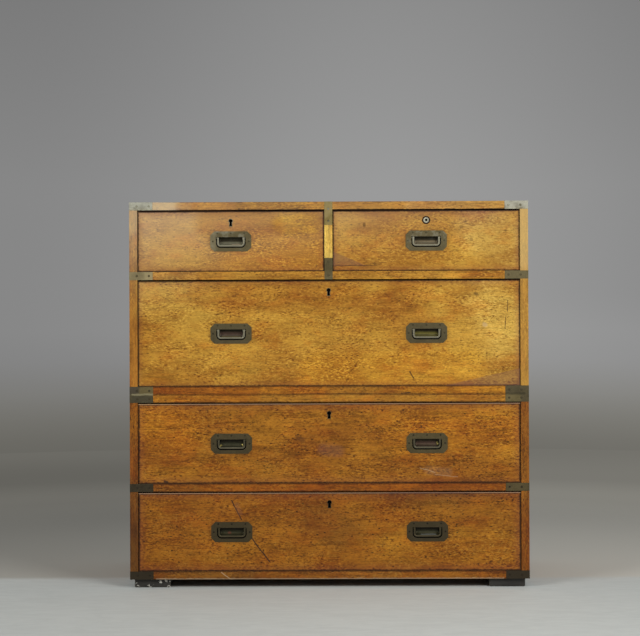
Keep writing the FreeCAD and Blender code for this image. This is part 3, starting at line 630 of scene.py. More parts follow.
def show_wood(name, grain, box, age, seed, spread, painted_sheen_strength, reach=3 * MM, marks=(), plates=(),
              pores=0.6, figured=1.2, specks=0.8, arris=0.0, beyond=None, paired=False):
    """Polished hardwood with marks of use, a painted sheen, dirt round its plates, and dirt and
    painted shade at its edges.
    """
    material, wire, place, facing = new_material(name)
    turned = wire.turn(place, grain)
    mottle, streak, fibre, pore, fleck, pit = wire.group("wood_grain",
                                                         {"Place": turned, "Seed": seed})
    tone = wood_tone(age)
    base = wire.mix(wire.remap(mottle, 0.36, 0.64), tinted(tone, WARM_SHARES),
                    tinted(tone, PALE_SHARES))
    for pattern, low, high, strength, share in FIGURES:
        figure = wire.remap(streak if pattern == "streak" else fibre, low, high)
        base = wire.lay(base, figure, wood_tone(age, share), strength * figured)
    base = wire.lay(base, pore, wood_tone(age, 0.16), pores)
    base = wire.lay(base, pit, wood_tone(age, 0.12), pores)
    base = wire.lay(base, fleck, blend(wood_tone(age, 1.5), shade("honey"), 0.35), 0.35)
    # patches of redder varnish, and a fine uneven grit
    flush = wire.remap(wire.noise(turned, (14, 28, 28), 4, 0.6), 0.48, 0.66, 0.0, 0.55)
    base = wire.lay(base, flush, RED_FLUSH, how="MULTIPLY")
    grit = wire.noise(turned, (140, 340, 340), 1)
    crowd = wire.remap(wire.noise(turned, (10, 20, 20), 4, 0.65, 0.8), 0.38, 0.64,
                       0.35 * specks, specks)
    base = wire.lay(base, wire.remap(grit, 0.42, 0.33), DARK_GRIT, crowd, "MULTIPLY")
    base = wire.lay(base, wire.remap(grit, 0.56, 0.67, 0.0, 0.48),
                    wood_tone(max(age - 0.4, 0), 1.55), crowd)
    across, back, up = wire.parts(place)
    if beyond:
        # the case sides away from the front
        away = wire.remap(back, FRONT + 20 * MM, FRONT + 100 * MM)
        base = wire.lay(base, away, (*beyond, 1), how="MULTIPLY")
    # end grain is darker and has no streaks
    rings = wire.remap(wire.noise(place, 160, 4, 0.7), 0.35, 0.65)
    base = wire.lay(base, wire.end_grain(facing, grain),
                    wire.mix(rings, wood_tone(age, 0.35), wood_tone(age, 0.6)))
    # a painted sheen of light toward the chest's top and left
    climb = wire.minus(wire.times(up, 2.6), wire.times(across, 0.6))
    sheen_mask = wire.math("POWER", wire.remap(climb, 1.80, 2.72), 2.0)
    base = wire.lay(base, sheen_mask, PAINTED_SHEEN, painted_sheen_strength)
    folded = wire.vector("ABSOLUTE", place) if paired else place
    # dirt and painted shade along the edges, darkest at the gaps between the parts
    grime, wide = wire.group("edge_grime", {"Place": folded, "Facing": facing, "Low": box[0],
                                            "High": box[1], "Reach": reach})
    # a wider band of old varnish and painted shade
    base = wire.lay(base, wide, shade("red_varnish_and_shade"), spread)
    dirt = wire.times(grime, 0.92)
    for x, z, half_width, half_height in plates:
        rim = line_mask(wire, "stroke", place, (x - half_width, z, x + half_width, z), half_height)
        dirt = wire.most(dirt, wire.times(rim, 0.45))
    base = wire.lay(base, dirt, shade("grime"))
    if arris:
        # the upper arris is painted pale: rubbed wear, and a painted highlight where it faces up to
        # the light
        top = box[1].z
        rubbed = wire.remap(up, top - 2.6 * MM, top - 1.2 * MM, 0.0, arris)
        base = wire.lay(base, rubbed, shade("rubbed_wood"))
    # painted shade in the gaps and recesses just inside the outer faces
    depth = sunk_depth(wire, place)
    recess_shade = wire.times(wire.remap(depth, 0.6 * MM, 2 * MM),
                      wire.remap(depth, 8 * MM, 14 * MM, 0.97, 0.3))
    base = wire.lay(base, recess_shade, shade("grime", 0.6))
    base = marked(wire, place, base, marks)
    gloss = wire.plus(wire.remap(streak, 0.3, 0.7, 0.40, 0.55), wire.times(dirt, 0.3))
    relief = wire.minus(wire.times(fibre, 0.5), wire.times(pore, 0.8))
    wire.surface(base, gloss, relief, 0.2, levels=POLISH)
    return material


def lining_wood(name, grain, seed, share=1.0):
    """Plain sawn and planed wood without polish."""
    material, wire, place, facing = new_material(name)
    given = {"Place": wire.turn(place, grain), "Seed": seed}
    mottle, streak, fibre, pore = wire.group("wood_grain", given)[:4]
    dark = shade("lining", share * 0.5)
    base = wire.lay(shade("lining", share), wire.remap(mottle, 0.6, 0.35), dark, 0.5)
    base = wire.lay(base, wire.remap(streak, 0.5, 0.36), dark, 0.55)
    base = wire.lay(base, wire.remap(fibre, 0.45, 0.7), dark, 0.3)
    base = wire.lay(base, pore, shade("umber", 0.8), 0.5)
    base = wire.lay(base, wire.end_grain(facing, grain, 0.6), dark)
    wire.surface(base, wire.remap(streak, 0.3, 0.7, 0.6, 0.8), fibre, 0.3)
    return material


def old_brass(name, level=0.0, wear=0.6, recess_shade_level=0.0, scoop=False, tone=1.0, rim=0.0,
              marks=(), under=0.0, painted_pocket=()):
    """Tarnished brass, paler toward the chest's top as painted reflection and where rubbed, with
    painted shade where sunk.
    """
    material, wire, place, facing = new_material(name)
    cloud, speck, scratch = wire.group("tarnish", {"Place": place})
    height = wire.parts(place)[2]
    olive, pale = shade("olive_brass"), shade("pale_brass_and_reflection")
    # a painted reflection: dark low on the chest, olive higher up and pale near its top, broken by
    # tarnish clouds
    painted_light_rise = wire.plus(height, wire.times(wire.minus(cloud, 0.5), 0.35))
    dull = wire.mix(wire.remap(painted_light_rise, 0.10, 0.95), shade("dark_brass_and_shade", tone),
                    shade("olive_brass", tone))
    base = wire.lay(dull, wire.remap(painted_light_rise, 0.86, 1.02), shade("pale_brass_and_reflection", tone))
    base = wire.lay(base, wire.remap(cloud, 0.5, 0.7), shade("dark_brass_and_shade", tone), 0.3)
    # rubbed edges, partly wear and partly a painted highlight, in the painted reflection's tone for
    # their height
    rubbed = wire.group("edge_wear", {"Place": place, "Facing": facing})[0]
    reflection_tone = wire.mix(wire.remap(height, 0.05, 0.9), olive, pale)
    base = wire.lay(base, rubbed, reflection_tone, wear)
    base = wire.lay(base, speck, shade("dark_brass_and_shade", 0.5), 0.5)
    # a level lays the rubbed tone, with its painted reflection, over the whole piece
    if level:
        base = wire.lay(base, level, reflection_tone)
    base = marked(wire, place, base, marks)
    if recess_shade_level:
        # painted shade where the metal is sunk
        depth = sunk_depth(wire, place)
        recess_shade = wire.remap(depth, 0.5 * MM, 2.2 * MM, 0.0, recess_shade_level)
        if scoop:
            # painted highlight where the finger scoop turns up to the light, and less painted shade
            # on its back wall
            reflection_tone = wire.mix(wire.remap(height, 0.1, 0.9), olive, pale)
            lit = wire.times(wire.remap(wire.parts(facing)[2], 0.02, 0.80),
                             wire.remap(depth, 6.6 * MM, 7.2 * MM))
            wall = wire.remap(depth, 10.5 * MM, 11.2 * MM, 0.0, 0.22)
            recess_shade = wire.times(recess_shade, wire.minus(1.0, wire.most(lit, wall)))
            base = wire.lay(base, lit, reflection_tone, 0.55)
        base = wire.lay(base, recess_shade, shade("dark_brass_and_shade", 0.06))
        # painted light and shade in the pull pockets
        base = marked(wire, place, base, painted_pocket)
    # painted shade on faces that look down
    if under:
        down = wire.remap(wire.parts(facing)[2], 0.1, -0.6, 0.0, under)
        base = wire.lay(base, down, shade("dark_brass_and_shade", 0.1))
    # rounded rims painted darker: painted shade round the nozzle's boss, and a dark ring round each
    # screw head
    if rim:
        edge = wire.remap(wire.most(*wire.axes(facing)), 0.985, 0.95, 0.0, rim)
        base = wire.lay(base, edge, shade("dark_brass_and_shade", 0.1))
    rough = wire.minus(wire.remap(cloud, 0.35, 0.65, 0.40, 0.56), wire.times(rubbed, 0.12))
    relief = wire.plus(cloud, wire.times(scratch, -0.3))
    wire.surface(base, rough, relief, 0.15, levels={"Metallic": 0.7})
    return material


def lock_steel():
    """Dull steel, browner in clouds and rusty in spots."""
    material, wire, place, _ = new_material("lock_steel")
    cloud, speck = wire.group("tarnish", {"Place": place})[:2]
    base = wire.mix(wire.remap(cloud, 0.4, 0.65), (0.33, 0.32, 0.30, 1), (0.20, 0.17, 0.14, 1))
    base = wire.lay(base, speck, (0.12, 0.06, 0.03, 1), 0.6)
    wire.surface(base, wire.remap(cloud, 0.3, 0.7, 0.3, 0.5), levels={"Metallic": 0.9})
    return material


def foot_paint():
    """Black paint, chipped pale here and there and rubbed brown at the edges."""
    material, wire, place, facing = new_material("black_foot_paint")
    rubbed = wire.group("edge_wear", {"Place": place, "Facing": facing})[0]
    cloud = wire.noise(place, (40, 40, 90), 5, 0.65)
    base = wire.mix(wire.remap(cloud, 0.4, 0.65), shade("black_paint", 0.7),
                    shade("black_paint", 1.25))
    base = wire.lay(base, rubbed, (0.13, 0.11, 0.085, 1), 0.5)
    left = wire.remap(wire.parts(place)[0], -0.38, -0.30, 0.055, 0.0)
    speckle = wire.plus(wire.noise(place, (90, 90, 130), 3, 0.6), left)
    base = wire.lay(base, wire.remap(speckle, 0.66, 0.69), (0.55, 0.53, 0.46, 1))
    wire.surface(base, wire.remap(cloud, 0.3, 0.7, 0.45, 0.7), cloud, 0.4, MM)
    return material


DARK, PURPLE, PALE = (0.035, 0.015, 0.008), (0.17, 0.075, 0.05), (0.62, 0.47, 0.30)
# how soft patches shift the wood: varnish worn thin, glowing amber, still red, or gone dull
THIN, AMBER = (1.18, 1.27, 1.45), (1.26, 1.24, 0.95)
RED, DULL = (0.84, 0.74, 0.6), (0.76, 0.75, 0.9)
# Marks of use. A stroke is mixed over what lies under it, a wash multiplies it, and "below" covers
# the lower side of a line, down to a height where its width says one.
# kind, start (x, z), end (x, z) and width in millimetres, strength, colour or shares of the wash
DRAWER_MARKS = {
    "short_left": (
        ("wash", -290, 905, -160, 905, 60, 1.0, RED),
        ("wash", -220, 825, -40, 832, 65, 0.8, AMBER),
        ("wash", -110, 900, -40, 905, 42, 0.9, (1.02, 0.96, 0.5)),
        ("stroke", -20, 905, 10, 880, 26, 0.22, PURPLE),
        # painted shadow in the gap above the drawer
        ("stroke", -466, 934, -18, 934, 2.8, 0.95, DARK),
    ),
    "short_right": (
        ("wash", 380, 890, 460, 850, 90, 0.9, (1.1, 1.28, 2.1)),
        ("wash", 150, 830, 340, 830, 55, 0.6, THIN),
        ("below", 11.5, 833, 90, 799, 797, 0.45, PURPLE),
        # painted shadow in the gap above the drawer
        ("stroke", 14, 934, 466, 934, 2.8, 0.95, DARK),
        ("stroke", 11, 797, 128, 799, 1.3, 0.7, DARK),
        ("stroke", 90, 800, 140, 806, 1.2, 0.5, DARK),
        ("stroke", 88.8, 901, 89.4, 897, 5, 0.6, DARK),
        ("stroke", 329, 894, 330, 893, 6, 0.35, DARK),
        ("stroke", 354, 862, 355, 861, 5, 0.4, DARK),
    ),
    "deep": (
        ("wash", 300, 690, 430, 590, 190, 0.4, (1.18, 1.32, 1.65)),
        ("wash", -440, 735, -340, 700, 100, 0.5, (1.1, 1.3, 1.7)),
        ("wash", -466, 650, -466, 560, 30, 0.8, RED),
        ("wash", -160, 650, -60, 640, 70, 0.3, THIN),
        ("wash", -450, 520, -300, 512, 22, 0.8, RED),
        ("wash", -310, 725, 60, 725, 50, 0.8, RED),
        ("wash", 190, 725, 205, 640, 85, 1.0, RED),
        ("wash", 400, 715, 445, 620, 90, 1.0, (1.2, 1.36, 1.9)),
        ("wash", -30, 535, 340, 545, 65, 0.9, AMBER),
        ("wash", -330, 590, -130, 560, 60, 0.4, THIN),
        ("below", 320, 507, 470, 541, 0, 0.45, PURPLE),
        ("stroke", 200, 534, 210, 518, 2.2, 0.85, DARK),
        ("stroke", 443.6, 710, 443, 683, 1.3, 0.8, DARK),
        ("stroke", 438.6, 670, 437, 641, 1.3, 0.8, DARK),
        ("stroke", 364, 727, 368, 726, 5, 0.55, DARK),
        ("stroke", 386, 651, 388, 650, 8, 0.35, PALE),
    ),
    "third": (
        ("wash", -450, 415, -375, 390, 85, 1.0, AMBER),
        ("wash", 180, 380, 450, 380, 80, 0.8, AMBER),
        ("wash", 430, 420, 460, 330, 50, 0.5, THIN),
        ("wash", 290, 285, 440, 285, 45, 0.9, RED),
        ("wash", -60, 365, 20, 355, 55, 0.8, RED),
        ("stroke", -408, 264, -402, 263, 4, 0.85, DARK),
        ("stroke", 228, 400, 229, 396, 3, 0.7, DARK),
        ("stroke", 225, 296, 262, 284, 1.5, 0.28, PALE),
        ("stroke", 262, 279, 318, 273, 1.5, 0.22, PALE),
        ("stroke", 245, 290, 295, 285, 15, 0.07, PALE),
        ("stroke", -14, 342, 22, 338, 22, 0.35, PURPLE),
        ("stroke", -78, 372, -66, 366, 9, 0.4, DARK),
    ),
    "bottom": (
        ("wash", -35, 175, 30, 140, 65, 1.0, DULL),
        ("wash", 170, 115, 430, 105, 80, 1.0, (1.24, 1.38, 1.5)),
        ("wash", 160, 222, 330, 222, 34, 1.0, DULL),
        ("wash", -265, 95, -205, 95, 50, 0.8, THIN),
        ("stroke", -243, 216, -218, 168, 1.9, 0.95, DARK),
        ("stroke", -192, 121, -149, 65, 2.2, 0.95, DARK),
        ("stroke", -230, 205, -222, 185, 9, 0.25, PURPLE),
    ),
}
BOARD_MARKS = {
    "lower_bottom": (
        ("wash", -430, 31, -200, 31, 30, 0.9, (0.79, 0.86, 1.2)),
        ("wash", -50, 31, 160, 31, 30, 0.8, (1.1, 1.22, 1.5)),
        ("stroke", -430, 22, 430, 22, 2.6, 0.35, PALE),
        ("stroke", -269, 38, -244, 21, 1.4, 0.45, PALE),
    ),
    "upper_top": (
        ("wash", -430, 947, -360, 947, 30, 1.0, (1.0, 1.17, 1.7)),
        ("wash", 30, 947, 165, 947, 30, 0.9, (0.84, 0.77, 0.93)),
        ("wash", 210, 947, 430, 947, 30, 0.9, (1.03, 1.07, 1.7)),
        # painted shadow along the gap under the top board
        ("stroke", -472, 936.6, 472, 936.6, 2.6, 0.9, DARK),
        ("stroke", -420, 957, -30, 957, 1.8, 0.5, DARK),
        ("stroke", 40, 957, 420, 957, 1.5, 0.35, DARK),
        ("stroke", -430, 947, -408, 947, 50, 0.55, (0.60, 0.47, 0.32)),
        ("stroke", -370, 946, -240, 947, 16, 0.3, (0.40, 0.17, 0.07)),
    ),
    "upper_bottom": (
        ("wash", -425, 489, -190, 489, 30, 0.9, (0.88, 0.65, 0.38)),
        ("wash", -150, 489, -30, 489, 30, 0.9, (1.2, 1.07, 0.75)),
        ("wash", 195, 489, 425, 489, 30, 0.9, (1.4, 1.45, 1.05)),
        ("stroke", 180, 480.5, 201, 481.5, 2.2, 0.95, DARK),
    ),
    "lower_top": (
        ("wash", -425, 469, -335, 469, 30, 0.9, (1.3, 1.27, 0.95)),
        ("wash", -300, 469, -190, 469, 30, 0.9, (0.97, 0.84, 0.58)),
    ),
    "upper_rail": (
        ("wash", -425, 774, -345, 774, 30, 0.9, (1.1, 1.22, 1.75)),
        ("wash", 315, 774, 425, 774, 30, 0.9, (1.17, 1.17, 1.2)),
    ),
    "lower_rail": (
        ("wash", -300, 248, 430, 248, 30, 1.0, (1.22, 1.12, 0.76)),
    ),
    "upper_sides": (
        ("stroke", -486, 500, -486, 740, 70, 0.35, (0.25, 0.11, 0.02)),
        # a painted highlight near the top of the left side board
        ("stroke", -486, 935, -486, 900, 34, 0.3, (0.55, 0.43, 0.22)),
        ("wash", -486, 848, -486, 805, 50, 0.9, (0.84, 0.81, 0.9)),
        ("wash", -486, 640, -486, 525, 50, 0.9, (0.95, 0.78, 0.68)),
        ("stroke", 486, 530, 486, 740, 70, 0.3, (0.60, 0.34, 0.07)),
        # a painted highlight on the upper part of the right side board
        ("stroke", 486, 830, 486, 960, 75, 0.6, (0.66, 0.46, 0.17)),
    ),
    "lower_sides": (
        ("stroke", -486, 60, -486, 220, 70, 0.4, (0.07, 0.03, 0.008)),
        ("wash", -486, 265, -486, 335, 60, 0.8, (0.85, 0.81, 0.75)),
        ("wash", -486, 400, -486, 440, 50, 0.8, (1.15, 1.2, 1.0)),
        ("wash", -486, 130, -486, 50, 50, 0.9, (0.7, 0.73, 0.87)),
    ),
    "upper_partition": (
        ("wash", 0, 865, 0, 900, 45, 1.0, (1.08, 1.06, 1.0)),
    ),
}
OLIVE, TARNISH_AND_SHADE, RUBBED = (0.30, 0.23, 0.085), (0.055, 0.045, 0.022), (0.38, 0.33, 0.20)
STRAP_MARKS = (
    ("stroke", 0, 957, 0, 905, 34, 0.85, (0.33, 0.24, 0.07)),
    ("stroke", 0, 860, 0, 800, 34, 0.5, (0.09, 0.065, 0.02)),
    ("stroke", -480, 774, -420, 774, 26, 0.85, (0.46, 0.37, 0.19)),
    ("stroke", -480, 774, -470, 774, 18, 0.35, TARNISH_AND_SHADE),
    ("stroke", -462, 489, -428, 489, 16, 0.4, OLIVE),
    ("stroke", -495, 490, -480, 490, 14, 0.4, (0.075, 0.062, 0.058)),
    # a painted highlight on the lit arris at the seam between the cases
    ("stroke", -488, 479.4, -430, 480, 3.4, 0.6, (0.46, 0.40, 0.22)),
    ("stroke", -427, 484, -427, 498, 3.0, 0.45, RUBBED),
    ("stroke", -480, 468, -420, 468, 16, 0.3, (0.06, 0.062, 0.045)),
    # a painted shadow line at the seam between the cases
    ("stroke", 436, 479, 484, 479, 4.0, 0.7, TARNISH_AND_SHADE),
    ("stroke", 440, 468, 466, 468, 14, 0.4, OLIVE),
    # painted reflection of the lamps on the two top corner straps
    ("stroke", -490, 957, -430, 957, 24, 0.6, (0.50, 0.50, 0.42)),
    ("stroke", 425, 957, 495, 957, 26, 0.6, (0.41, 0.395, 0.33)),
    ("stroke", 430, 248, 480, 248, 22, 0.25, OLIVE),
)
PULL_MARKS = (
    ("stroke", -290, 845, -290, 875, 18, 0.4, RUBBED),
    ("stroke", -285, 357, -200, 357, 50, 0.1, OLIVE),
    ("stroke", 200, 357, 285, 357, 50, 0.2, OLIVE),
    ("stroke", -285, 138, -200, 138, 50, 0.12, OLIVE),
    ("stroke", 200, 138, 285, 138, 50, 0.10, OLIVE),
)


def pocket_light_and_shade():
    """Painted light and shade at the bottom of each pull's pocket: its middle, then strokes about
    it.
    """
    grey, warm, purple = (0.30, 0.28, 0.17), (0.33, 0.25, 0.14), (0.12, 0.065, 0.045)
    # gold marks are painted glints at the ends of the pockets
    mossy, dim, gold = (0.20, 0.17, 0.03), (0.055, 0.055, 0.025), (0.60, 0.48, 0.14)
    rust, steel = (0.22, 0.05, 0.03), (0.28, 0.29, 0.27)
    pockets = (
        (-242.5, 859.15, ((-22, -7, 22, -7, 9, 0.55, grey), (4, -9, 22, -8, 4, 0.5, PALE))),
        (242.5, 859.15, ((-22, -6, 22, -6, 10, 0.55, warm),)),
        (-242.5, 630.15, ((-22, -2, 22, -2, 10, 0.6, purple), (-22, -9, 22, -9, 4, 0.5, OLIVE))),
        (242.5, 630.15, ((-22, -4, 22, -4, 11, 0.7, mossy),)),
        (-242.5, 357.15, ((-22, -4, 22, -4, 10, 0.6, dim), (-28, -6, -26, -5, 3, 0.9, gold),
                          (26, -3, 27, -5, 3, 0.9, gold))),
        (242.5, 357.15, ((-22, -2, 18, -2, 10, 0.6, purple), (25, 1, 26, -3, 3, 0.7, gold))),
        (-242.5, 138.15, ((-22, -4, 22, -4, 10, 0.6, dim), (-8, -3, -5, -3, 4, 0.5, rust))),
        (242.5, 138.15, ((-22, -4, 22, -4, 10, 0.6, dim), (-14, -9, 20, -9, 4, 0.5, steel))),
    )
    return tuple(("stroke", x + start, z + high, x + end, z + low, *rest)
                 for x, z, strokes in pockets for start, high, end, low, *rest in strokes)


# the arms of the lower bails are painted as dark as their plates, where the painted reflection is
# weak low down
BAIL_MARKS = tuple(("stroke", x, z + 9, x, z - 3, 7, 0.6, TARNISH_AND_SHADE)
                   for x in (-275, -210, 210, 275) for z in (138, 357))
# how the case sides' tone away from the front differs from the front's
SIDE_SHIFTS = {"upper_sides": (0.86, 0.74, 0.52), "lower_sides": (1.12, 1.2, 1.3)}
OLD_DRAWERS = ("third", "bottom")
# a drawer front's age, and how strongly its pores, its figure and its fine specks show
DRAWER_WOODS = {"short_left": (1.05, 0.5, 0.5, 0.85), "short_right": (1.07, 0.5, 0.45, 0.75),
                "deep": (1.08, 0.6, 0.65, 1.0), "third": (1.93, 0.85, 1.15, 1.1),
                "bottom": (2.22, 1.0, 0.85, 1.0)}
BOARD_AGES = {"upper_top": 1.0, "upper_rail": 1.15, "upper_bottom": 1.8, "lower_top": 1.6,
              "lower_rail": 2.6, "lower_bottom": 2.4, "upper_partition": 0.0,
              "upper_sides": 1.1, "lower_sides": 2.6}


# The pieces ---------------------------------------------------------------------------------
class CHEST_OT_finishes(bpy.types.Operator):
    """Builds the node groups that the finishes share"""
    bl_idname = "chest.finishes"
    bl_label = "Shared finishes"

    def execute(self, context):
        for build in (wood_grain, edge_grime, stroke, below_line, edge_wear, tarnish):
            build()
        return {"FINISHED"}


class CHEST_OT_boards(bpy.types.Operator):
    """Softens the boards of both cases and gives them polished wood"""
    bl_idname = "chest.boards"
    bl_label = "Case boards"

    def execute(self, context):
        edge = context.scene.chest_details.board_edge
        for number, (node, age) in enumerate(BOARD_AGES.items(), start=1):
            grain = "Z" if node.endswith(("sides", "partition")) else "X"
            low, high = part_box(node)
            paired = node.endswith("sides")
            if paired:
                # one side board stands for both, and the face toward the front counts as no edge
                low = Vector((CASE_HALF - BOARD, -1, low.z))
            # the side boards get more of the painted sheen toward the top
            material = show_wood(f"{node}_wood", grain, (low, high), age, 1.0 + 3.7 * number,
                                 spread=0.10, painted_sheen_strength=0.2 if paired else 0.06,
                                 marks=BOARD_MARKS.get(node, ()), beyond=SIDE_SHIFTS.get(node),
                                 paired=paired)
            softened_copy(node, f"{node}_board", edge, material)
        for number, case in enumerate(CASES):
            node = f"{case}_back_boards"
            material = lining_wood(f"{node}_wood", "X", 40.0 + number, share=0.55)
            softened_copy(node, f"{case}_backing", edge, material)
        return {"FINISHED"}


class CHEST_OT_drawer_fronts(bpy.types.Operator):
    """Softens the drawer fronts and gives each its own figure and marks of use"""
    bl_idname = "chest.drawer_fronts"
    bl_label = "Drawer fronts"

    def execute(self, context):
        sizes = context.scene.chest_pull
        # the dirt round a pull: half of the run between its round ends, and half of its height
        half_run = sizes.width / 2 - sizes.height / 2 + 4 * MM
        half_height = sizes.height / 2 + 10 * MM
        for number, name in enumerate(DRAWERS):
            node = f"{name}_drawer_front"
            x, _, z = middle_of(node)
            centres = [x] if name in SHORT_DRAWERS else [-HALF_BAY, HALF_BAY]
            old = name in OLD_DRAWERS
            age, pores, figured, specks = DRAWER_WOODS[name]
            # each front gets a painted sheen, dirt and painted shade along its edges, and the old
            # ones a painted highlight on the upper arris
            material = show_wood(f"{node}_wood", "X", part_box(node), age, 60.0 + 7.3 * number,
                                 spread=0.35, painted_sheen_strength=0.21, reach=(5.2 if old else 4) * MM,
                                 marks=DRAWER_MARKS[name], pores=pores, figured=figured,
                                 plates=[(spot, z, half_run, half_height) for spot in centres],
                                 specks=specks, arris=0.75 if old else 0.0)
            softened_copy(node, f"{name}_front", context.scene.chest_details.board_edge,
                          material)
        return {"FINISHED"}


class CHEST_OT_linings(bpy.types.Operator):
    """Gives the drawer boxes, drawer bottoms and runners plain wood"""
    bl_idname = "chest.linings"
    bl_label = "Linings and runners"

    def execute(self, context):
        runners = lining_wood("runner_wood", "Y", 89.0, share=0.75)
        sides = lining_wood("drawer_side_wood", "Y", 81.0)
        bottoms = lining_wood("drawer_bottom_wood", "X", 85.0, share=0.85)
        for case in CASES:
            refinish(frame["nodes"][f"{case}_runners"], runners)
        for name in DRAWERS:
            refinish(frame["nodes"][f"{name}_drawer_box"], sides)
            refinish(frame["nodes"][f"{name}_drawer_bottom"], bottoms)
        return {"FINISHED"}


class CHEST_OT_straps(bpy.types.Operator):
    """Softens the brass straps and corners"""
    bl_idname = "chest.straps"
    bl_label = "Brass straps"

    def execute(self, context):
        material = old_brass("strap_brass", wear=0.75, tone=1.2, marks=STRAP_MARKS)
        for case in CASES:
            softened_copy(f"{case}_brasses", f"{case}_straps",
                          context.scene.chest_details.brass_edge, material)
        return {"FINISHED"}


class CHEST_OT_feet(bpy.types.Operator):
    """Rounds the block feet and paints them black"""
    bl_idname = "chest.feet"
    bl_label = "Feet"

    def execute(self, context):
        softened_copy("feet", "block_feet", context.scene.chest_details.foot_edge,
                      foot_paint())
        return {"FINISHED"}


def pivot_of(sizes):
    """Depth and height of a bail's pins."""
    return BAIL_INSET + sizes.bail_thick / 2, sizes.open_top - BAIL_DROP - sizes.bail_thick / 2


def pin(name, radius, sizes, start, end):
    """A round bar on the line that a bail turns about."""
    depth, height = pivot_of(sizes)
    return bar(name, radius, (start, depth, height), (end, depth, height), 16)


def handle_casting(sizes, details):
    """Plate and cup of a flush handle about the middle of its plate, facing -Y."""
    half, tall = sizes.width / 2, sizes.height / 2
    plate = block("casting", (-half, -PROUD, -tall), (half, PLATE - PROUD, tall))
    round_off(plate, sizes.cant, lambda edge: along(edge, 1), 1)
    opening = sizes.open_width / 2
    cup = block("cup", (-opening - CUP_WALL, 0, -sizes.open_low - CUP_WALL),
                (opening + CUP_WALL, sizes.cup, sizes.open_top + CUP_WALL))
    round_off(cup, CUP_ROUND, lambda edge: max(v.co.y for v in edge.verts) > sizes.cup - MM, 3)
    combine(plate, cup, "UNION")
    mouth = block("mouth", (-opening, -5 * MM, -sizes.open_low),
                  (opening, sizes.ledge, sizes.open_top))
    round_off(mouth, sizes.open_corner, lambda edge: low_corner(edge, 1), 8)
    combine(plate, mouth, "DIFFERENCE")
    # the deep part of the cup, a millimetre inside the arms and the bar of the bail
    side = opening - sizes.bail_gap - sizes.bail_arm - MM
    base = -sizes.open_low + sizes.bail_gap + sizes.bail_bar + MM
    well = block("well", (-side, 0, base), (side, sizes.cup - CUP_FLOOR, sizes.open_top))
    round_off(well, details.scoop,
              lambda edge: low_corner(edge, 0) and edge.verts[0].co.y > MM, 10)
    round_off(well, WELL_ROUND,
              lambda edge: edge.verts[0].co.x * edge.verts[1].co.x > 0 and not along(edge, 0)
              and min(v.co.y for v in edge.verts) > MM, 3)
    combine(plate, well, "DIFFERENCE")
    reach = opening + BORE_REACH
    combine(plate, pin("bores", PIN_BORE, sizes, -reach, reach), "DIFFERENCE")
    return soften(plate, details.casting_edge)


def handle_ring(sizes, details):
    """The bail: a U bar with worn round edges, and a pin on each arm."""
    half, high = sizes.bail_width / 2, sizes.open_top - BAIL_DROP
    low = -sizes.open_low + sizes.bail_gap
    near, far = BAIL_INSET, BAIL_INSET + sizes.bail_thick
    ring = block("ring", (-half, near, low), (half, far, high))
    round_off(ring, sizes.open_corner - sizes.bail_gap, lambda edge: low_corner(edge, 1), 8)
    hollow = block("hollow", (sizes.bail_arm - half, near - MM, low + sizes.bail_bar),
                   (half - sizes.bail_arm, far + MM, high + 5 * MM))
    round_off(hollow, sizes.bail_inner, lambda edge: low_corner(edge, 1), 6)
    combine(ring, hollow, "DIFFERENCE")
    soften(ring, details.bail_edge, segments=4)
    tip = sizes.open_width / 2 + PIN_REACH
    for side in (-1, 1):
        combine(ring, pin("pin", PIN, sizes, side * (half - MM), side * tip), "UNION")
    return smooth_rounds(ring)


def slotted_screw(radius):
    """A countersunk screw head that faces along -Y at the origin, a hair proud of the metal."""
    screw = bar("screw", radius, (0, -HEAD_OUT, 0), (0, HEAD_IN, 0), 20)
    choose(screw, "FACE", lambda face: face.normal.y < -0.9)
    bpy.ops.mesh.inset(thickness=radius * HEAD_RIM, depth=0.0)
    bpy.ops.transform.translate(value=(0, -HEAD_OUT, 0))
    leave()
    run, half = radius * SLOT_RUN, radius * SLOT_HALF
    slot = block("slot", (-run, -MM, -half), (run, SLOT_DEPTH - HEAD_OUT, half))
    return combine(screw, slot, "DIFFERENCE")


def set_screws(name, screw, spots, body, material):
    """Copies of a screw at places with their outward directions, their slots turned unevenly."""
    copies = []
    for number, (spot, outward) in enumerate(spots):
        copy = put_in("screw_copy", screw.data.copy())
        spin = Matrix.Rotation(math.radians((number * 67 + 20) % 180), 4, "Y")
        aim = Vector((0, -1, 0)).rotation_difference(Vector(outward)).to_matrix().to_4x4()
        copy.matrix_world = Matrix.Translation(spot) @ aim @ spin
        copies.append(settle(copy))
    finish_piece(join(copies, name), body, material)


def handle_screw_spots(sizes, centre, turn):
    """Five screws: three along the top of the plate and one at each end."""
    turned = Matrix.Rotation(turn, 3, "Z")
    return [(Vector(centre) + turned @ Vector((x * sizes.width, -PROUD, z * sizes.height)),
             turned @ Vector((0, -1, 0))) for x, z in HANDLE_SCREWS]


def fit_handles(sizes, head, finishes, owners):
    """Sets handles in drawers or cases: plates as one piece, bails one by one, and the screws."""
    details = bpy.context.scene.chest_details
    plate_brass, bail_brass, screw_brass = finishes
    casting, ring = handle_casting(sizes, details), handle_ring(sizes, details)
    screw = slotted_screw(head)
    for name, body, pans, places in owners:
        plates, spots = [], []
        for bail, centre, turn in places:
            plates.append(copy_to(casting, bail.replace("bail", "plate"), centre, turn))
            finish_piece(copy_to(ring, f"{bail}_ring", centre, turn), bail,
                         bail_brass, [bail])
            spots += handle_screw_spots(sizes, centre, turn)
        plate = join(plates, f"{name}_castings") if len(plates) > 1 else plates[0]
        finish_piece(plate, body, plate_brass, [pans])
        set_screws(f"{name}_screws", screw, spots, body, screw_brass)
    for pattern in (casting, ring, screw):
        bpy.data.objects.remove(pattern)


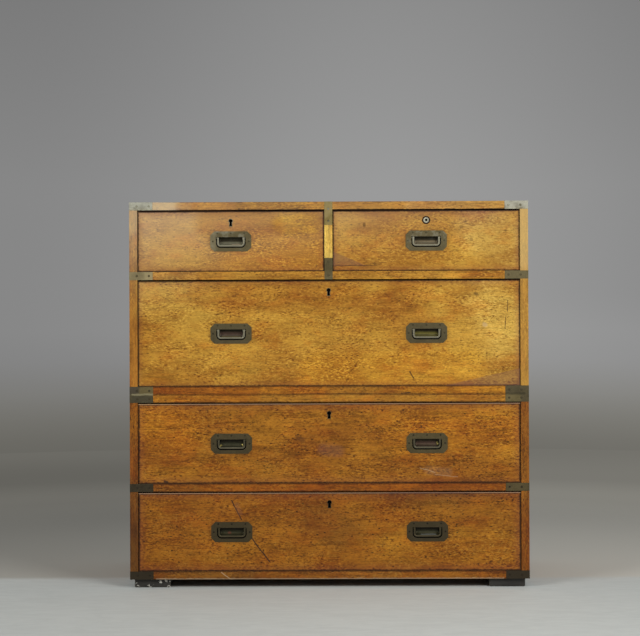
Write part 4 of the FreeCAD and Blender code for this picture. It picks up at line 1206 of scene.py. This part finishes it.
class CHEST_OT_pulls(bpy.types.Operator):
    """Casts the flush pulls of the drawers, with their bails and screws"""
    bl_idname = "chest.pulls"
    bl_label = "Flush pulls"

    def execute(self, context):
        # the plates get painted shade in their pockets and painted light on the scoop, and the
        # bails painted shade underneath
        finishes = (old_brass("pull_brass", wear=0.4, recess_shade_level=0.98, scoop=True,
                              marks=PULL_MARKS, painted_pocket=pocket_light_and_shade()),
                    old_brass("bail_brass", 0.4, wear=0.9, under=0.9, marks=BAIL_MARKS),
                    old_brass("pull_screw_brass", wear=0.0, tone=0.65, rim=0.8))
        owners = []
        for name in DRAWERS:
            x, _, z = middle_of(f"{name}_drawer_front")
            sides, pans = {"": x}, f"{name}_drawer_pan"
            if name in LONG_DRAWERS:
                sides, pans = {"left_": -HALF_BAY, "right_": HALF_BAY}, f"{name}_drawer_pans"
            places = [(f"{name}_{side}bail", (x, FRONT, z), 0.0) for side, x in sides.items()]
            owners.append((f"{name}_pull", f"{name}_drawer", pans, places))
        fit_handles(context.scene.chest_pull, context.scene.chest_details.pull_screw_head,
                    finishes, owners)
        return {"FINISHED"}


class CHEST_OT_carry_handles(bpy.types.Operator):
    """Casts the larger carrying handles let into the case sides"""
    bl_idname = "chest.carry_handles"
    bl_label = "Carrying handles"

    def execute(self, context):
        plate_brass = old_brass("carry_brass", wear=0.4, recess_shade_level=0.98, scoop=True)
        finishes = (plate_brass, old_brass("carry_bail_brass", 0.5, wear=0.95), plate_brass)
        owners = []
        for case in CASES:
            pans = f"{case}_carry_pans"
            low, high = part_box(pans)
            _, y, z = middle_of(pans)
            places = [(f"{case}_{side}_carry_bail", (x, y, z), turn) for side, x, turn in (
                ("left", low.x + PROUD, -math.pi / 2), ("right", high.x - PROUD, math.pi / 2))]
            owners.append((f"{case}_carry", f"{case}_case", pans, places))
        fit_handles(context.scene.chest_carry, context.scene.chest_details.screw_head, finishes,
                    owners)
        return {"FINISHED"}


class CHEST_OT_strap_screws(bpy.types.Operator):
    """Sets slotted screws into the straps"""
    bl_idname = "chest.strap_screws"
    bl_label = "Strap screws"

    def execute(self, context):
        screw = slotted_screw(context.scene.chest_details.screw_head)
        # screws of a strap, from the corner along each arm
        near, far = 19 * MM, 49 * MM
        for case in CASES:
            material = old_brass(f"{case}_screw_brass", wear=0.0, tone=0.85,
                                 rim=0.95 if case == "upper" else 0.55)
            low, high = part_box(f"{case}_brasses")
            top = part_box(f"{case}_top")[1].z - BOARD
            base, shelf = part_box(f"{case}_bottom")[0].z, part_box(f"{case}_rail")[0].z
            sides, faces = {-1: low.x, 1: high.x}, {-1: low.y, 1: high.y}
            spots = []
            for out, x in sides.items():
                for z, ends in ((base, (-1, 1)), (shelf, (-1,)), (top, (-1, 1))):
                    for end in ends:
                        y, height = faces[end], z + BOARD / 2
                        for step in (near, far):
                            spots.append(((x - out * step, y, height), (0, end, 0)))
                            spots.append(((x, y - end * step, height), (out, 0, 0)))
            if case == "upper":
                # on the top, and down the partition
                for out, x in sides.items():
                    for end, y in faces.items():
                        spots.append(((x - out * far, y - end * BOARD / 2, high.z), (0, 0, 1)))
                        spots.append(((x - out * BOARD / 2, y - end * far, high.z), (0, 0, 1)))
                spots.append(((0, low.y + far, high.z), (0, 0, 1)))
                for z in (high.z - 18 * MM, high.z - 48 * MM, shelf + 10 * MM, shelf + 43.5 * MM):
                    spots.append(((0, low.y, z), (0, -1, 0)))
            set_screws(f"{case}_strap_screws", screw, spots, f"{case}_case", material)
        bpy.data.objects.remove(screw)
        return {"FINISHED"}


class CHEST_OT_locks(bpy.types.Operator):
    """Gives the locks and bolts their metals and turns the raised boss of the round nozzle"""
    bl_idname = "chest.locks"
    bl_label = "Locks"

    def execute(self, context):
        details = context.scene.chest_details
        front = "short_right_drawer_front"
        x, z = middle_of(front)[0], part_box(front)[1].z - details.key_drop
        centre = Vector((x, FRONT, z))
        spot = (centre.x / MM, centre.z / MM)
        steel = lock_steel()
        # the locks behind the fronts carry painted shade, black behind the nozzle's hole
        brass = old_brass("lock_brass", 0.1, recess_shade_level=0.97,
                          marks=[("stroke", *spot, *spot, 30, 1.0, DARK)])
        for name in DRAWERS:
            refinish(frame["nodes"][f"{name}_drawer_lock"], brass)
            refinish(frame["nodes"][f"{name}_drawer_bolt"], steel)

        def ahead(distance):
            return centre - Vector((0, distance, 0))

        boss = bar("nozzle_boss", details.boss, ahead(-0.2 * MM), ahead(1.1 * MM))
        round_off(boss, 0.7 * MM, lambda edge: max(v.co.y for v in edge.verts) < FRONT - MM, 4)
        combine(boss, bar("hole", details.key_bore, ahead(-2 * MM), ahead(3 * MM)), "DIFFERENCE")
        soften(boss, 0.3 * MM)
        # the nozzle's rim is painted dark as the shade round its boss
        finish_piece(boss, "short_right_drawer",
                     old_brass("nozzle_brass", 0.8, tone=1.3, rim=0.95))
        return {"FINISHED"}


FLOOR_RADIUS, WALL_RADIUS, WALL_TOP = 4.5, 7.0, 9.0
FLOOR_EDGE = -0.07
# these greys are painted light: falloff and shadow on the floor, a gradient of light on the glowing
# sheet
# greys on the screen: on the floor by distance from the chest's middle, on the sheet by height
FLOOR_GREYS = ((0.0, 168), (0.6, 162), (1.0, 154), (1.4, 145), (2.0, 124), (2.8, 109),
               (4.5, 108))
WALL_GREYS = ((0.0, 111), (0.10, 119), (0.26, 131), (0.44, 139), (0.63, 143), (1.6, 143),
              (2.2, 137), (3.2, 127))
FLOOR_FRONT = (172, 175, 171)
LOW_TINT = (1.0, 0.97, 0.86, 1.0)
# lamps: place, size and power, and what they point at
LAMPS = {"key": ((2.6, -3.2, 2.5), 1.8, 100), "fill": ((-2.8, -2.9, 2.5), 1.6, 66)}
LAMP_AIM = Vector((0, -0.1, 0.55))
SKY, SKY_STRENGTH = (0.97, 0.98, 1.0, 1), 0.36
# the camera: place, turns in degrees and lens
CAMERA_SPOT = Vector((0.0120, FRONT - 4.0, 0.6401))
PITCH, YAW, ROLL = (math.radians(turn) for turn in (0.401, -0.482, -0.233))
LENS, FILM, FARTHEST = 90.7, 36.0, 60.0


def grey_steps(wire, value, steps):
    """A grey read from a list of levels between which it passes evenly."""
    reach = steps[-1][0]
    ramp = wire.add("ValToRGB", {0: wire.math("DIVIDE", value, reach)}).node
    stops = ramp.color_ramp.elements
    stops.remove(stops[-1])
    for number, (spot, grey) in enumerate(steps):
        stop = stops.new(spot / reach) if number else stops[0]
        stop.position = spot / reach
        stop.color = (*[linear(grey)] * 3, 1)
    return ramp.outputs[0]


class CHEST_OT_stage(bpy.types.Operator):
    """Lays the floor and backdrop and sets the lamps and the camera"""
    bl_idname = "chest.stage"
    bl_label = "Stage"

    def execute(self, context):
        scene = context.scene
        scene.view_settings.view_transform = "Standard"
        self.floor()
        self.sheet()
        self.lamps(scene)
        self.camera(scene)
        return {"FINISHED"}

    def floor(self):
        bpy.ops.mesh.primitive_circle_add(vertices=96, radius=FLOOR_RADIUS, fill_type="NGON")
        floor = bpy.context.active_object
        floor.name = "floor"
        material, wire, place, _ = new_material("pale_floor")
        across, back, _ = wire.parts(place)
        far = wire.vector("LENGTH", place, output="Value")
        # painted light and shade: the floor darker to the left, where the chest's shadow falls, and
        # lighter to the right
        painted_side_light = wire.mix(wire.remap(far, 3.0, 4.5), wire.remap(across, -0.9, 0.9, 0.84, 1.23),
                        wire.remap(across, -0.5, 1.5, 1.0, 1.15))
        behind = wire.scale(grey_steps(wire, far, FLOOR_GREYS), painted_side_light)
        behind = wire.mix(1.0, behind, LOW_TINT, "MULTIPLY")
        aside = wire.math("ABSOLUTE", wire.minus(across, 0.25))
        crease = wire.remap(wire.noise(place, (9, 26, 9), 6, 0.65, 1.5), 0.35, 0.65, 0.965, 1.035)
        glint = wire.remap(wire.noise(place, (34, 60, 34), 4, 0.6, 1.0), 0.66, 0.74, 0.0, 0.07)
        # painted light: a brighter middle in front, with lit creases and glints in the paper
        painted_light_rise = wire.times(wire.remap(aside, 0.0, 1.0, 1.06, 0.90), wire.plus(crease, glint))
        front = wire.scale(tuple(linear(part) for part in FLOOR_FRONT), painted_light_rise)
        # the floor is paler in front, up to an uneven line
        cloud = wire.noise(place, (1.5, 1.5, 1.5), 4, 0.6)
        step = wire.plus(back, wire.times(wire.minus(cloud, 0.5), 0.1))
        tone = wire.mix(wire.remap(step, FLOOR_EDGE - 0.03, FLOOR_EDGE + 0.03), front, behind)
        wire.surface(wire.scale(tone, 1.35), 0.8, levels={"Specular IOR Level": 0.1})
        # far away the floor glows with its grey for the camera, as painted light
        seen = wire.add("LightPath").node.outputs["Is Camera Ray"]
        self.glow(wire, tone, wire.times(wire.remap(far, 1.3, 2.4), seen))
        floor.data.materials.append(material)
        return floor

    def glow(self, wire, tone, share):
        """Makes a surface glow with its tone as painted light, wholly or by a share."""
        glow = wire.add("Emission", {"Color": tone, "Strength": 1.0})
        if share != 1:
            shader = wire.tree.nodes["Principled BSDF"].outputs[0]
            glow = wire.add("MixShader", {0: share, 1: shader, 2: glow})
        wire.feed(wire.tree.nodes["Material Output"], {"Surface": glow})

    def sheet(self):
        """The backdrop: a profile that curves up from the floor's rim, spun round the chest."""
        bpy.ops.mesh.primitive_plane_add(size=1)
        sheet = bpy.context.active_object
        sheet.name = "backdrop"
        choose(sheet, "VERT", lambda corner: True)
        bpy.ops.mesh.delete(type="VERT")
        shape = bmesh.from_edit_mesh(sheet.data)
        bend = WALL_RADIUS - FLOOR_RADIUS
        turns = [math.radians(9 * step) for step in range(11)]
        profile = [(FLOOR_RADIUS + bend * math.sin(turn), bend * (1 - math.cos(turn)))
                   for turn in turns]
        profile.append((WALL_RADIUS, WALL_TOP))
        corners = [shape.verts.new((radius, 0, height)) for radius, height in profile]
        for ends in zip(corners, corners[1:]):
            shape.edges.new(ends)
        bmesh.update_edit_mesh(sheet.data)
        bpy.ops.mesh.select_all(action="SELECT")
        bpy.ops.mesh.spin(steps=96, angle=math.tau, center=(0, 0, 0), axis=(0, 0, 1))
        bpy.ops.mesh.select_all(action="SELECT")
        bpy.ops.mesh.remove_doubles(threshold=0.1 * MM)
        bpy.ops.mesh.normals_make_consistent(inside=True)
        leave()
        bpy.ops.object.shade_smooth()
        material, wire, place, _ = new_material("grey_backdrop")
        wire.tree.nodes.remove(wire.tree.nodes["Principled BSDF"])
        across, _, up = wire.parts(place)
        # painted light on the glowing sheet: a pool of light right of the middle, and its lower
        # right side lighter
        aside = wire.math("ABSOLUTE", wire.minus(across, 0.4))
        painted_light_pool = wire.times(wire.remap(aside, 0.0, 2.6, 0.3, 0.0), wire.remap(up, 0.0, 0.8))
        low = wire.times(wire.remap(across, -0.5, 1.5, 0.0, 0.15), wire.remap(up, 0.9, 0.3))
        # the sheet glows with greys that change with height, as painted light
        tone = wire.scale(grey_steps(wire, up, WALL_GREYS), wire.plus(painted_light_pool, low, 0.88))
        tone = wire.lay(tone, wire.remap(up, 0.5, 0.0), wire.mix(1.0, tone, LOW_TINT, "MULTIPLY"))
        self.glow(wire, tone, 1)
        sheet.data.materials.append(material)
        sheet.visible_diffuse = False
        sheet.visible_shadow = False
        return sheet

    def lamps(self, scene):
        scene.world = bpy.data.worlds.new("studio")
        scene.world.use_nodes = True
        tree = scene.world.node_tree
        Wiring(tree).feed(tree.nodes["Background"], {"Color": SKY, "Strength": SKY_STRENGTH})
        for name, (spot, size, power) in LAMPS.items():
            lamp = bpy.data.lights.new(name, "AREA")
            lamp.shape = "SQUARE"
            lamp.size = size
            lamp.energy = power
            holder = put_in(name, lamp)
            holder.location = spot
            holder.rotation_euler = (LAMP_AIM - Vector(spot)).to_track_quat("-Z", "Y").to_euler()
            holder.visible_camera = False

    def camera(self, scene):
        lens = bpy.data.cameras.new("camera")
        lens.lens = LENS
        lens.sensor_width = FILM
        lens.clip_end = FARTHEST
        camera = put_in("camera", lens)
        forward = Vector((math.sin(YAW) * math.cos(PITCH), math.cos(YAW) * math.cos(PITCH),
                          math.sin(PITCH)))
        right = Vector((math.cos(YAW), -math.sin(YAW), 0))
        up = right.cross(forward)
        right, up = (right * math.cos(ROLL) + up * math.sin(ROLL),
                     up * math.cos(ROLL) - right * math.sin(ROLL))
        facing = Matrix((right, up, -forward)).transposed().to_4x4()
        camera.matrix_world = Matrix.Translation(CAMERA_SPOT) @ facing
        scene.camera = camera


class CHEST_PT_panel(bpy.types.Panel):
    """Lists the steps that build the chest"""
    bl_idname = "CHEST_PT_panel"
    bl_label = "Campaign Chest"
    bl_space_type = "VIEW_3D"
    bl_region_type = "UI"
    bl_category = "Chest"

    def draw(self, context):
        for step in STEPS:
            self.layout.operator(step.bl_idname)


SETTINGS = {"chest_pull": PullSizes, "chest_carry": CarrySizes, "chest_details": DetailSizes,
            "chest_finishes": Finishes}
STEPS = (CHEST_OT_finishes, CHEST_OT_boards, CHEST_OT_drawer_fronts, CHEST_OT_linings,
         CHEST_OT_straps, CHEST_OT_feet, CHEST_OT_pulls, CHEST_OT_carry_handles,
         CHEST_OT_strap_screws, CHEST_OT_locks, CHEST_OT_stage)
CLASSES = (*SETTINGS.values(), *STEPS, CHEST_PT_panel)


def register():
    for item in CLASSES:
        bpy.utils.register_class(item)
    for name, kind in SETTINGS.items():
        setattr(bpy.types.Scene, name, PointerProperty(type=kind))


def unregister():
    for name in SETTINGS:
        delattr(bpy.types.Scene, name)
    for item in reversed(CLASSES):
        bpy.utils.unregister_class(item)


def main():
    register()
    for step in STEPS:
        family, action = step.bl_idname.split(".")
        getattr(getattr(bpy.ops, family), action)()
    bpy.context.view_layer.update()


if __name__ == "__main__":
    main()
